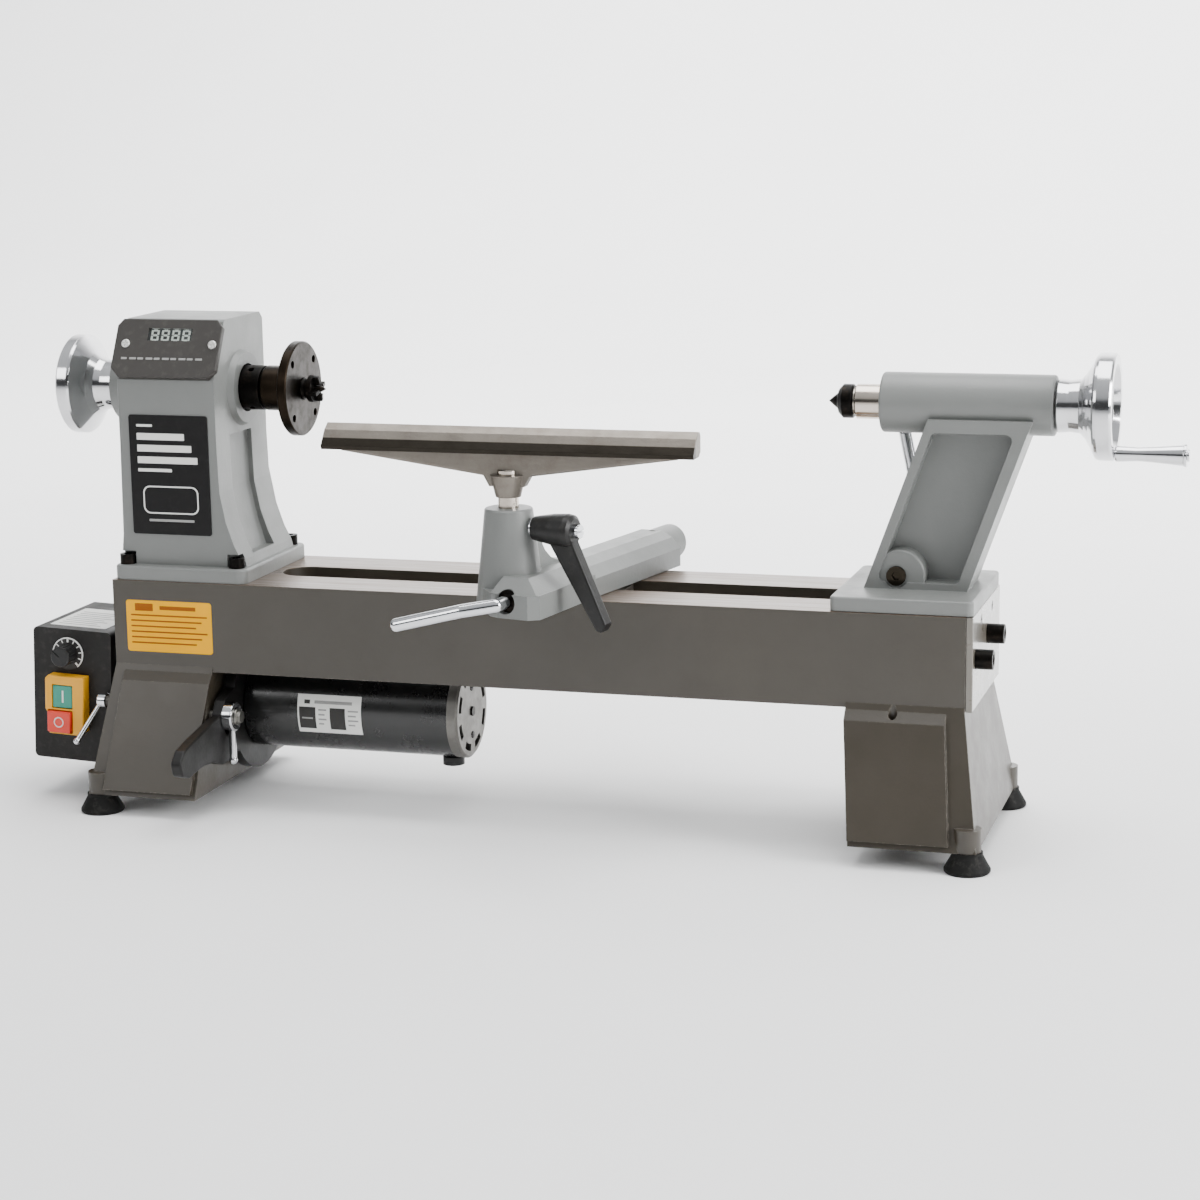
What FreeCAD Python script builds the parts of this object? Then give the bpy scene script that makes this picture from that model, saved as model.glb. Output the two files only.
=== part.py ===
import FreeCAD, Part
import math
import os
from FreeCAD import Vector

os.makedirs("parts", exist_ok=True)

# ---------------------------------------------------------------------------
# Bench-top midi wood lathe.  Millimetres.
# Working axes: X runs along the spindle, X = 0 is the right end of the bed,
# Y = 0 is the middle of the bed (front is -Y), Z = 0 is the bench top.
# Every piece is moved by FRAME_SHIFT when it is written, so that the middle of
# the whole machine's box stands at X = 0, Y = 0.
# ---------------------------------------------------------------------------
FRAME_SHIFT = Vector(320.95, 21.15, 0.0)

# bed and legs
BED_LENGTH = 709.4
BED_HALF_WIDTH = 67.2
BED_TOP = 189.2
SKIRT_BOTTOM = 115.3
WAY_THICKNESS = 14.2
SKIRT_WALL = 8.0
SLOT_HALF_WIDTH = 20.5
SLOT_LEFT_END = -585.0
LEG_BOTTOM = 16.0
LEG_BOTTOM_HALF = 104.0
LEG_WALL = 8.0
BED_CASTING_RIGHT = -5.3
FOOT_CENTRES = [(-714.5, -94.7), (-714.5, 94.7), (2.0, -94.7), (2.0, 94.7)]

# spindle
SPINDLE_Z = 341.6
SPINDLE_R = 12.5
NOSE_R = 12.7
BEARING_OUTER_R = 23.5
BEARING_INNER_R = 12.5
BEARING_WIDTH = 12.0
LEFT_BEARING_X = -712.0
RIGHT_BEARING_X = -630.0
FACEPLATE_R = 38.6
FACEPLATE_HOLE_CIRCLE_R = 31.0

# drive
PULLEY_STEP_CENTRES = [-680.0, -665.0, -650.0]
SPINDLE_PULLEY_RADII = [26.0, 31.0, 36.0]
MOTOR_PULLEY_RADII = [30.0, 25.0, 20.0]
BELT_STEP = 1
BELT_WIDTH = 9.0
BELT_THICKNESS = 3.0
BELT_GAP = 0.05
MOTOR_Y = 0.0
MOTOR_Z = 78.0
MOTOR_R = 38.0
MOTOR_PIVOT = (48.0, 78.0)
LOCK_STUD = (-70.0, 80.0)
MOTOR_SWING = 5.0

# banjo and tool rest
BANJO_ANGLE = 12.0
POST_X, POST_Y = -352.0, -105.0
BANJO_BOLT_ALONG = 111.2
CAM_ACROSS = 18.0
CAM_Z = 201.8
POST_R = 8.0
LOCK_Z = 253.0

# tailstock
QUILL_R = 13.5
BARREL_R = 23.2
TAIL_CAM_X, TAIL_CAM_Z = -66.0, 211.0
TAIL_HANDLE = (-7.0, SPINDLE_Z - 34.3)

# control box
BOX_CORNER = Vector(-788.0, -60.0, 145.0)
BOX_TILT = 2.44
BOX_W, BOX_D, BOX_H = 71.0, 105.0, 112.0

FIT = 0.05


# ---------------------------------------------------------------------------
# small building helpers
# ---------------------------------------------------------------------------
def box(x0, x1, y0, y1, z0, z1):
    return Part.makeBox(x1 - x0, y1 - y0, z1 - z0, Vector(x0, y0, z0))


def rod_x(x0, x1, r, y=0.0, z=SPINDLE_Z):
    return Part.makeCylinder(r, x1 - x0, Vector(x0, y, z), Vector(1, 0, 0))


def rod_y(y0, y1, r, x, z):
    return Part.makeCylinder(r, y1 - y0, Vector(x, y0, z), Vector(0, 1, 0))


def rod_z(z0, z1, r, x, y):
    return Part.makeCylinder(r, z1 - z0, Vector(x, y, z0), Vector(0, 0, 1))


def cone_z(z0, z1, r0, r1, x, y):
    return Part.makeCone(r0, r1, z1 - z0, Vector(x, y, z0), Vector(0, 0, 1))


def cone_x(x0, x1, r0, r1, y=0.0, z=SPINDLE_Z):
    return Part.makeCone(r0, r1, x1 - x0, Vector(x0, y, z), Vector(1, 0, 0))


def rod_between(a, b, r):
    a, b = Vector(*a), Vector(*b)
    return Part.makeCylinder(r, (b - a).Length, a, b - a)


def turned(profile, y=0.0, z=SPINDLE_Z):
    """Solid of revolution about an X-parallel axis.  profile is (x, radius) points."""
    pts = [Vector(x, y, z + r) for x, r in profile]
    pts.append(pts[0])
    face = Part.Face(Part.makePolygon(pts))
    return face.revolve(Vector(0, y, z), Vector(1, 0, 0), 360)


def turned_z(profile, x, y):
    pts = [Vector(x + r, y, z) for r, z in profile]
    pts.append(pts[0])
    face = Part.Face(Part.makePolygon(pts))
    return face.revolve(Vector(x, y, 0), Vector(0, 0, 1), 360)


def prism_y(points, y0, y1):
    pts = [Vector(x, y0, z) for x, z in points]
    pts.append(pts[0])
    return Part.Face(Part.makePolygon(pts)).extrude(Vector(0, y1 - y0, 0))


def prism_x(points, x0, x1):
    pts = [Vector(x0, y, z) for y, z in points]
    pts.append(pts[0])
    return Part.Face(Part.makePolygon(pts)).extrude(Vector(x1 - x0, 0, 0))


def prism_z(points, z0, z1):
    pts = [Vector(x, y, z0) for x, y in points]
    pts.append(pts[0])
    return Part.Face(Part.makePolygon(pts)).extrude(Vector(0, 0, z1 - z0))


def rect_loft(low, high):
    """Tapered block between two level rectangles (x0, x1, y0, y1, z)."""
    wires = []
    for x0, x1, y0, y1, z in (low, high):
        pts = [Vector(x0, y0, z), Vector(x1, y0, z), Vector(x1, y1, z), Vector(x0, y1, z), Vector(x0, y0, z)]
        wires.append(Part.makePolygon(pts))
    return Part.makeLoft(wires, True, True)


def slab(x0, x1, y0, y1, z0, z1, corner, axis="y"):
    """Box whose four edges along one axis are rounded."""
    body = box(x0, x1, y0, y1, z0, z1)
    edges = []
    for edge in body.Edges:
        d = edge.Vertexes[1].Point - edge.Vertexes[0].Point
        along = {"x": d.x, "y": d.y, "z": d.z}[axis]
        if abs(along) > 1e-6:
            edges.append(edge)
    return body.makeFillet(corner, edges)


def soften(body, radius, pick):
    """Round the edges for which pick(edge) is true, or leave the body alone if it can't be done."""
    edges = [e for e in body.Edges if pick(e)]
    try:
        result = body.makeFillet(radius, edges)
        if result.isValid() and result.Volume > 0:
            return result
    except Exception:
        print("left sharp:", radius, len(edges))
    return body


def hex_x(x0, x1, across_flats, y, z):
    r = across_flats / math.sqrt(3.0)
    pts = [(y + r * math.cos(math.radians(60 * i)), z + r * math.sin(math.radians(60 * i))) for i in range(6)]
    return prism_x(pts, x0, x1)


def hex_z(z0, z1, across_flats, x, y):
    r = across_flats / math.sqrt(3.0)
    pts = [(x + r * math.cos(math.radians(60 * i)), y + r * math.sin(math.radians(60 * i))) for i in range(6)]
    return prism_z(pts, z0, z1)


def hex_y(y0, y1, across_flats, x, z):
    r = across_flats / math.sqrt(3.0)
    pts = [(x + r * math.cos(math.radians(60 * i)), z + r * math.sin(math.radians(60 * i))) for i in range(6)]
    return prism_y(pts, y0, y1)


def fuse(parts):
    body = parts[0]
    if len(parts) > 1:
        body = body.fuse(parts[1:])
    return body.removeSplitter()


def group(parts):
    return Part.makeCompound(parts)


def ring_sector_x(x0, x1, r0, r1, start, end, y, z):
    """Part of a flat ring about an X-parallel axis; angles in degrees from +Y towards +Z."""
    ring = rod_x(x0, x1, r1, y, z).cut(rod_x(x0 - 1, x1 + 1, r0, y, z))
    reach = r1 * 2
    pts = [(y, z)]
    steps = max(2, int(abs(end - start) / 20) + 1)
    for i in range(steps + 1):
        a = math.radians(start + (end - start) * i / steps)
        pts.append((y + reach * math.cos(a), z + reach * math.sin(a)))
    return ring.common(prism_x(pts, x0 - 0.5, x1 + 0.5))


PIECES = {}


def keep(name, shape):
    if name in PIECES:
        raise RuntimeError("piece made twice: " + name)
    PIECES[name] = shape


def socket_screw_z(x, y, z_seat, head_r, head_h, shank_r, shank_length, key):
    head = rod_z(z_seat, z_seat + head_h, head_r, x, y)
    head = head.cut(hex_z(z_seat + head_h * 0.45, z_seat + head_h + 1, key, x, y))
    return head.fuse(rod_z(z_seat - shank_length, z_seat + 0.01, shank_r, x, y)).removeSplitter()


# ---------------------------------------------------------------------------
# bed, legs, feet
# ---------------------------------------------------------------------------
def leg_envelope(x0t, x1t, x0b, x1b, wall):
    """Splayed leg block; wall > 0 gives the hollow inside it."""
    low = (x0b + wall, x1b - wall, -LEG_BOTTOM_HALF + wall, LEG_BOTTOM_HALF - wall, LEG_BOTTOM)
    high = (x0t + wall, x1t - wall, -BED_HALF_WIDTH + wall, BED_HALF_WIDTH - wall, SKIRT_BOTTOM + 4)
    return rect_loft(low, high)


def boxed(shape):
    """Lean a square-drawn control box piece over with the leg."""
    return shape.rotated(BOX_CORNER, Vector(0, 1, 0), BOX_TILT)


bx, by, bz = BOX_CORNER.x, BOX_CORNER.y, BOX_CORNER.z
LATCH = (-69.0, 87.0)
END_SCREW_Y, END_SCREW_Z = (-27.0, 27.0), 180.0
END_BOLTS = ((-52.0, 154.5), (5.0, 162.5))


def make_bed():
    w, right = BED_HALF_WIDTH, BED_CASTING_RIGHT
    way_low = BED_TOP - WAY_THICKNESS
    block = box(-BED_LENGTH, right, -w, w, SKIRT_BOTTOM, BED_TOP)
    hollow = box(-BED_LENGTH + 8, right - 8, -w + SKIRT_WALL, w - SKIRT_WALL, SKIRT_BOTTOM - 1, way_low)
    body = block.cut(hollow)
    # low cross ribs tie the two skirts and leave the clamps free to pass above them
    for x in (-520.0, -400.0, -270.0, -140.0):
        body = body.fuse(box(x - 4, x + 4, -w + 4, w - 4, 123.0, 135.0))
    legs = [(-BED_LENGTH, -623.0, -722.0, -627.0), (-97.0, right - 0.6, -88.0, 10.0)]
    outers, inners = [], []
    for x0t, x1t, x0b, x1b in legs:
        outers.append(leg_envelope(x0t, x1t, x0b, x1b, 0.0))
        inners.append(leg_envelope(x0t, x1t, x0b, x1b, LEG_WALL))
    # raised pads on the front and back of each leg, with a bevelled ledge on top
    pads = []
    for px0t, px1t, px0b, px1b in ((-701.0, -623.0, -708.0, -630.0), (-97.0, -19.5, -88.0, -11.0)):
        for side in (-1, 1):
            y_in_top, y_out_top = side * (w - 6), side * (w + 8.5)
            y_in_low, y_out_low = side * (LEG_BOTTOM_HALF - 8), side * (LEG_BOTTOM_HALF + 2.5)
            low = (px0b, px1b, min(y_in_low, y_out_low), max(y_in_low, y_out_low), LEG_BOTTOM + 5)
            high = (px0t, px1t, min(y_in_top, y_out_top), max(y_in_top, y_out_top), 107.0)
            cap_out = side * (w + 0.5)
            cap = (px0t, px1t, min(y_in_top, cap_out), max(y_in_top, cap_out), 115.8)
            pads.append(rect_loft(low, high))
            pads.append(rect_loft(high, cap))
    body = body.fuse(outers + pads)
    for inner in inners:
        body = body.cut(inner)
    # the leg hollows run up into the hollow of the bed
    for x0, x1 in ((-BED_LENGTH + 8, -631.0), (-89.0, right - 8)):
        body = body.cut(box(x0, x1, -w + SKIRT_WALL, w - SKIRT_WALL, SKIRT_BOTTOM - 6, way_low))
    bosses = []
    for fx, fy in FOOT_CENTRES:
        bosses.append(rod_z(LEG_BOTTOM, LEG_BOTTOM + 18, 10.5, fx, fy))
    for boss in bosses:
        body = body.fuse(boss)
    for fx, fy in FOOT_CENTRES:
        body = body.cut(rod_z(LEG_BOTTOM - 1, LEG_BOTTOM + 13, 4.2, fx, fy))
    # slot between the ways, and the belt opening under the headstock
    body = body.cut(box(SLOT_LEFT_END + SLOT_HALF_WIDTH, right - 8, -SLOT_HALF_WIDTH, SLOT_HALF_WIDTH, 150, 200))
    body = body.cut(box(right - 9, right + 1, -SLOT_HALF_WIDTH, SLOT_HALF_WIDTH, way_low, 200))
    body = body.cut(rod_z(way_low - 1, BED_TOP + 1, SLOT_HALF_WIDTH, SLOT_LEFT_END + SLOT_HALF_WIDTH, 0))
    body = body.cut(box(-697, -631, -43, 43, way_low - 1, BED_TOP + 1))
    # shaft opening in the right wall of the left leg
    body = body.cut(rod_x(-645, -610, 31.0, MOTOR_Y, MOTOR_Z + 2))
    # headstock bolt holes, pivot and lock stud holes, hole in the ledge of the right leg
    for x in (-700.0, -603.0):
        for y in (-55.0, 55.0):
            body = body.cut(rod_z(way_low - 1, BED_TOP + 1, 5.0, x, y))
    body = body.cut(rod_x(-640, -615, 5.0, *MOTOR_PIVOT))
    body = body.cut(rod_x(-640, -615, 4.0 + FIT, *LOCK_STUD))
    body = body.cut(rod_z(98, 120, 3.4, -60.0, -70.5))
    for y in END_SCREW_Y:
        body = body.cut(rod_x(right - 9, right + 1, 2.0, y, END_SCREW_Z))
    for y, z in END_BOLTS:
        body = body.fuse(rod_x(-26, right, 8.0, y, z).common(box(-30, right, -61, 60, 120, 176)))
        body = body.cut(rod_x(-24, right + 1, 4.1, y, z))
    # lug that carries the control box, and the stub for the small side lever
    body = body.fuse(box(-722.0, -BED_LENGTH + 1, -30.0, 30.0, 119.0, 137.0).cut(boxed(
        box(bx, bx + BOX_W, by, by + BOX_D, bz - BOX_H, bz))))
    body = body.fuse(rod_x(-718.5, -708.0, 4.5, *LATCH))
    return body.removeSplitter()


keep("bed_casting", make_bed())

end_plate = box(-5.0, 0.0, -66.9, 66.9, 116.0, 188.9)
panel_screws, frame_bolts = [], []
for y in END_SCREW_Y:
    end_plate = end_plate.cut(rod_x(-6, 1, 2.1, y, END_SCREW_Z)).cut(cone_x(-2.0, 0.1, 2.1, 4.1, y, END_SCREW_Z))
    head = cone_x(-2.0, -0.1, 2.05, 3.9, y, END_SCREW_Z).fuse(rod_x(-13, -1.9, 1.95, y, END_SCREW_Z))
    panel_screws.append(head.cut(box(-0.9, 0.2, y - 3, y + 3, END_SCREW_Z - 0.4, END_SCREW_Z + 0.4)))
bed_bolts = []
for y, z in END_BOLTS:
    end_plate = end_plate.cut(rod_x(-6, 1, 4.3, y, z))
    head = rod_x(0.0, 13.5, 7.75, y, z)
    head = soften(head, 1.0, lambda e: e.CenterOfMass.x > 13.4)
    head = head.cut(hex_x(7.0, 14.0, 8.0, y, z))
    bed_bolts.append(head.fuse(rod_x(-22, 0.01, 4.0, y, z)))
keep("bed_end_plate", soften(end_plate, 0.8, lambda e: e.BoundBox.XMin > -0.01 and e.Length > 50))
keep("bed_extension_bolts", group(bed_bolts))

feet = []
for fx, fy in FOOT_CENTRES:
    foot = turned_z([(0, 0), (16.6, 0), (17.7, 1.2), (17.7, 3.0), (11.8, 13.5), (11.8, LEG_BOTTOM), (0, LEG_BOTTOM)],
                    fx, fy)
    foot = foot.cut(rod_z(-1, 6.5, 8.2, fx, fy)).cut(rod_z(5, 17, 4.2, fx, fy))
    feet.append(foot)
    frame_bolts.append(rod_z(2.2, 6.5, 7.0, fx, fy).fuse(rod_z(6.49, 27.0, 4.0, fx, fy)))
keep("rubber_feet", group(feet))


# ---------------------------------------------------------------------------
# headstock
# ---------------------------------------------------------------------------
HEAD_TOP = 400.0
HEAD_FRONT, HEAD_BACK = -56.0, 48.0
SLOPE_LOW = (-55.8, 353.2)
SLOPE_HIGH = (-31.7, 398.4)
DISPLAY_SCREW_X = (-697.0, -620.6)
DISPLAY_SCREW_UP = 29.0


def make_headstock():
    base = slab(-708.6, -592.0, -66.0, 66.0, BED_TOP, 201.0, 8.0, "z")
    base = soften(base, 2.0, lambda e: e.BoundBox.ZMin > 200.9)
    outline = [(-706.5, 200.5), (-704.0, 225.0), (-703.0, 300.0), (-703.0, HEAD_TOP), (-616.5, HEAD_TOP),
               (-616.5, 300.0), (-615.5, 262.0), (-611.0, 238.0), (-604.5, 219.0), (-598.5, 207.0), (-597.0, 200.5)]
    body = prism_y(outline, HEAD_FRONT, HEAD_BACK)
    side = [(HEAD_FRONT, 199.0), (HEAD_FRONT, 353.0), SLOPE_LOW, SLOPE_HIGH, (-28.0, HEAD_TOP), (40.0, HEAD_TOP),
            (HEAD_BACK, 392.0), (HEAD_BACK, 199.0)]
    body = body.common(prism_x(side, -720, -590))
    body = soften(body, 3.0, lambda e: abs(e.Vertexes[0].Point.x - e.Vertexes[-1].Point.x) < 6
                  and e.BoundBox.ZLength > 60 and e.BoundBox.YLength < 0.5)
    body = body.fuse(base)
    left_boss = cone_x(-723.0, -700.0, 29.0, 35.0)
    right_boss = cone_x(-620.0, -611.5, 33.0, 29.0)
    body = body.fuse([left_boss, right_boss])
    # belt chamber, open to the bed below
    chamber = box(-693.0, -633.0, -46.0, 41.0, BED_TOP - 1, 386.0)
    chamber = chamber.cut(prism_x([(-60, 340), (-60, 400), (-20, 400)], -700, -620))
    body = body.cut(chamber)
    # bearing seats and the spindle passage
    body = body.cut(rod_x(LEFT_BEARING_X, LEFT_BEARING_X + BEARING_WIDTH, BEARING_OUTER_R))
    body = body.cut(rod_x(RIGHT_BEARING_X, RIGHT_BEARING_X + BEARING_WIDTH, BEARING_OUTER_R))
    body = body.cut(rod_x(-725, LEFT_BEARING_X + 1, 19.8))
    body = body.cut(rod_x(RIGHT_BEARING_X + BEARING_WIDTH - 1, -610, 19.8))
    body = body.cut(rod_x(-725, -600, 18.5))
    # recessed panel below the right bearing boss
    recess = prism_y([(-620.5, 306.0), (-600.0, 306.0), (-585.0, 209.0), (-607.0, 209.0), (-614.0, 232.0),
                      (-620.0, 262.0)], -30.0, 14.0)
    body = body.cut(recess)
    # door opening in the back wall, with corner room for the bolts on the base
    body = body.cut(box(-686.0, -640.0, 38.0, 52.0, 226.0, 322.0))
    for x in (-700.0, -603.0):
        for y in (-55.0, 55.0):
            body = body.cut(rod_z(201.0, 211.5, 7.8, x, y))
            body = body.cut(rod_z(BED_TOP - 1, 202.0, 5.2, x, y))
    return body


def slope_frame(shape):
    """Move a shape drawn in (across X, up-slope Y, outward Z) onto the sloping front of the head."""
    run = Vector(0, SLOPE_HIGH[0] - SLOPE_LOW[0], SLOPE_HIGH[1] - SLOPE_LOW[1])
    run.normalize()
    out = Vector(1, 0, 0).cross(run)
    turned_over = FreeCAD.Placement(Vector(0, SLOPE_LOW[0], SLOPE_LOW[1]),
                                    FreeCAD.Rotation(Vector(1, 0, 0), run, out, "XYZ"))
    moved = shape.copy()
    moved.Placement = turned_over.multiply(moved.Placement)
    return moved


SLOPE_LENGTH = math.hypot(SLOPE_HIGH[0] - SLOPE_LOW[0], SLOPE_HIGH[1] - SLOPE_LOW[1])
headstock = make_headstock()
display_pocket = slope_frame(box(-685.0, -633.0, 17.0, 45.0, -16.0, 0.5))
screw_holes = [slope_frame(rod_z(-14, 1, 2.0, x, DISPLAY_SCREW_UP)) for x in DISPLAY_SCREW_X]
for cutter in [display_pocket] + screw_holes:
    headstock = headstock.cut(cutter)
# two hinge knuckles of the belt door stand on the back wall
for z0 in (246.0, 296.0):
    headstock = headstock.fuse(box(-698.0, -690.0, 46.0, 51.0, z0, z0 + 10.0).cut(
        rod_z(z0 - 1, z0 + 11, 2.05, -694.0, 53.0)))
    knuckle = rod_z(z0, z0 + 10.0, 4.2, -694.0, 53.0).cut(rod_z(z0 - 1, z0 + 11, 2.05, -694.0, 53.0))
    headstock = headstock.fuse(knuckle)
keep("headstock_casting", headstock.removeSplitter())

frame_bolts += [socket_screw_z(x, y, 201.0, 6.6, 8.2, 4.9, 27.0, 6.0) for x in (-700.0, -603.0) for y in (-55.0, 55.0)]
keep("frame_bolts", group(frame_bolts))

# display bezel: cut corners, window, two screws, board behind
bezel = prism_z([(-699.6, 0.4), (-707.2, 8.2), (-707.2, 45.0), (-702.6, SLOPE_LENGTH - 0.2),
                 (-619.6, SLOPE_LENGTH - 0.2), (-614.4, 45.0), (-614.4, 7.2), (-620.4, 0.4)], 0.0, 5.0)
bezel = soften(bezel, 1.0, lambda e: e.BoundBox.ZMin > 4.9)
bezel = bezel.cut(box(-679.0, -640.0, 32.0, 43.0, -1.0, 6.0))
for x in DISPLAY_SCREW_X:
    bezel = bezel.cut(rod_z(-1, 6, 2.1, x, DISPLAY_SCREW_UP))
keep("display_bezel", slope_frame(bezel))
keep("display_window", slope_frame(box(-678.8, -640.2, 32.2, 42.8, 2.6, 4.4)))
electrics = [slope_frame(box(-684.0, -634.0, 18.0, 44.0, -3.4, -1.8)),
             slope_frame(box(-678.0, -641.0, 32.4, 42.6, -1.8, 1.2)),
             slope_frame(box(-680.0, -670.0, 20.0, 28.0, -7.0, -3.4))]
for x in DISPLAY_SCREW_X:
    head = rod_z(5.0, 6.6, 3.6, x, DISPLAY_SCREW_UP)
    head = soften(head, 1.0, lambda e: e.CenterOfMass.z > 6.5)
    up = DISPLAY_SCREW_UP
    panel_screws.append(slope_frame(head.cut(box(x - 3, x + 3, up - 0.4, up + 0.4, 5.9, 7)).cut(
        box(x - 0.4, x + 0.4, up - 3, up + 3, 5.9, 7)).fuse(rod_z(-12, 5.01, 1.95, x, up))))
keep("panel_screws", group(panel_screws))

keep("name_plate", slab(-693.0, -623.5, -56.8, -56.0, 226.5, 324.5, 2.0, "y"))

# belt access door on the back wall, turning on a pin beside it
door = box(-690.0, -633.0, 48.6, 51.2, 218.0, 330.0)
door = soften(door, 1.0, lambda e: e.BoundBox.YMin > 51.1)
door_knuckle = rod_z(257.0, 295.0, 4.2, -694.0, 53.0).fuse(box(-694.0, -688.0, 48.8, 51.2, 257.0, 295.0))
door = door.fuse(door_knuckle).cut(rod_z(250, 300, 2.05, -694.0, 53.0))
door = door.cut(box(-700, -690.5, 44, 60, 210, 256.5)).cut(box(-700, -690.5, 44, 60, 295.5, 340))
door = door.fuse([rod_y(51.0, 56.0, 3.0, -641.0, 274.0), rod_y(56.0, 62.0, 7.5, -641.0, 274.0)])
keep("belt_door", door.removeSplitter())
pivot_pins = [rod_z(244.0, 308.0, 2.0, -694.0, 53.0)]

# ---------------------------------------------------------------------------
# spindle and what turns with it
# ---------------------------------------------------------------------------
spindle = turned([(-752.0, 5.0), (-752.0, 9.5), (-723.6, 9.5), (-723.6, 12.0), (-713.0, 12.0), (-713.0, SPINDLE_R),
                  (-616.0, SPINDLE_R), (-616.0, 12.7), (-572.8, NOSE_R), (-572.8, 8.9), (-640.0, 7.25),
                  (-640.0, 5.0)])
for k in range(8):
    groove = -592.5 + 2.2 * k
    ring = rod_x(groove, groove + 0.7, NOSE_R + 1).cut(rod_x(groove - 1, groove + 2, NOSE_R - 0.6))
    spindle = spindle.cut(ring)
keep("spindle", spindle)
collar = rod_x(-613.5, -595.0, 18.3).cut(rod_x(-620, -590, NOSE_R))
for k in range(3):
    collar = collar.cut(rod_between((-604, 0, SPINDLE_Z), (-604, 30 * math.cos(k * 2.094), SPINDLE_Z
                                                           + 30 * math.sin(k * 2.094)), 2.5))
collar = soften(collar, 0.8, lambda e: e.Length > 100)
nut = rod_x(-722.8, -713.6, 18.0).cut(rod_x(-724, -712, 12.0))
for k in range(4):
    nut = nut.cut(box(-724, -712, -2.5, 2.5, 15.5, 22).rotated(Vector(0, 0, 0), Vector(1, 0, 0), 90 * k + 45)
                  .translated(Vector(0, 0, SPINDLE_Z)))


def stepped_pulley(radii, bore, y, z):
    """Three-step poly-V pulley with a shallow rim beside every step."""
    solid = None
    for centre, r in zip(PULLEY_STEP_CENTRES, radii):
        step = rod_x(centre - 7.5, centre + 7.5, r, y, z)
        rims = [rod_x(centre - 7.5, centre - 6.0, r + 2.2, y, z), rod_x(centre + 6.0, centre + 7.5, r + 2.2, y, z)]
        step = step.fuse(rims)
        for k in range(4):
            x = centre - 4.2 + 2.35 * k
            step = step.cut(rod_x(x, x + 1.0, r + 1, y, z).cut(rod_x(x - 1, x + 2, r - 1.1, y, z)))
        solid = step if solid is None else solid.fuse(step)
    return solid.cut(rod_x(-700, -630, bore, y, z))


spindle_pulley = stepped_pulley(SPINDLE_PULLEY_RADII, SPINDLE_R, 0.0, SPINDLE_Z)
keep("spindle_pulley", spindle_pulley)

outer_rings, inner_rings, balls = [], [], []
for x0 in (LEFT_BEARING_X, RIGHT_BEARING_X):
    middle = x0 + BEARING_WIDTH / 2
    outer = rod_x(x0, x0 + BEARING_WIDTH, BEARING_OUTER_R).cut(rod_x(x0 - 1, x0 + 20, 20.4))
    inner = rod_x(x0, x0 + BEARING_WIDTH, 15.6).cut(rod_x(x0 - 1, x0 + 20, BEARING_INNER_R))
    race = Part.makeTorus(18.0, 3.0, Vector(middle, 0, SPINDLE_Z), Vector(1, 0, 0))
    outer_rings.append(outer.cut(race))
    inner_rings.append(inner.cut(race))
    for k in range(9):
        a = math.radians(40 * k)
        balls.append(Part.makeSphere(2.6, Vector(middle, 18.0 * math.cos(a), SPINDLE_Z + 18.0 * math.sin(a))))
keep("bearing_outer_rings", group(outer_rings + balls))
keep("spindle_collars", group([collar, nut] + inner_rings))

# left handwheel: dished rim, waisted hub
wheel = turned([(-724.5, 9.55), (-724.5, 19.2), (-725.6, 20.3), (-736.5, 20.3), (-741.5, 22.3), (-746.5, 27.0),
                (-751.5, 34.5), (-755.0, 39.6), (-756.6, 41.0), (-765.0, 41.0), (-766.4, 39.6), (-766.4, 35.8),
                (-762.0, 33.6), (-756.6, 30.4), (-752.4, 23.0), (-751.0, 14.0), (-751.0, 9.55)])
wheel = wheel.cut(rod_between((-730.5, 0, SPINDLE_Z), (-730.5, -22.0, SPINDLE_Z - 20.0), 3.2))
grub = rod_between((-730.5, -7.2, SPINDLE_Z - 6.5), (-730.5, -13.0, SPINDLE_Z - 11.8), 3.15)
keep("headstock_handwheel", group([wheel, grub]))

faceplate = turned([(-594.6, 12.8), (-594.6, 17.2), (-592.5, 18.4), (-576.0, 18.4), (-571.5, 22.5), (-570.3, 26.0),
                    (-570.0, 37.6), (-569.0, FACEPLATE_R), (-562.9, FACEPLATE_R), (-561.9, 37.6), (-561.9, 9.3),
                    (-572.0, 9.3), (-572.0, 12.8)])
for k in range(4):
    a = math.radians(45 + 90 * k)
    y, z = FACEPLATE_HOLE_CIRCLE_R * math.cos(a), SPINDLE_Z + FACEPLATE_HOLE_CIRCLE_R * math.sin(a)
    faceplate = faceplate.cut(rod_x(-575, -560, 3.25, y, z))
keep("faceplate", faceplate)

spur = turned([(-633.0, 0.0), (-633.0, 7.3), (-573.0, 8.75), (-561.0, 9.0), (-559.5, 8.0), (-556.0, 8.0),
               (-556.0, 11.0), (-552.0, 11.0), (-552.0, 3.0), (-546.5, 2.6), (-542.0, 0.0)])
for k in range(4):
    tooth = prism_z([(-552.5, 3.2), (-552.5, 10.6), (-547.2, 10.6), (-546.4, 5.0)], -1.5, 1.5)
    tooth = tooth.rotated(Vector(0, 0, 0), Vector(1, 0, 0), 90 * k + 20).translated(Vector(0, 0, SPINDLE_Z))
    spur = spur.fuse(tooth)
keep("spur_centre", spur.removeSplitter())

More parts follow.
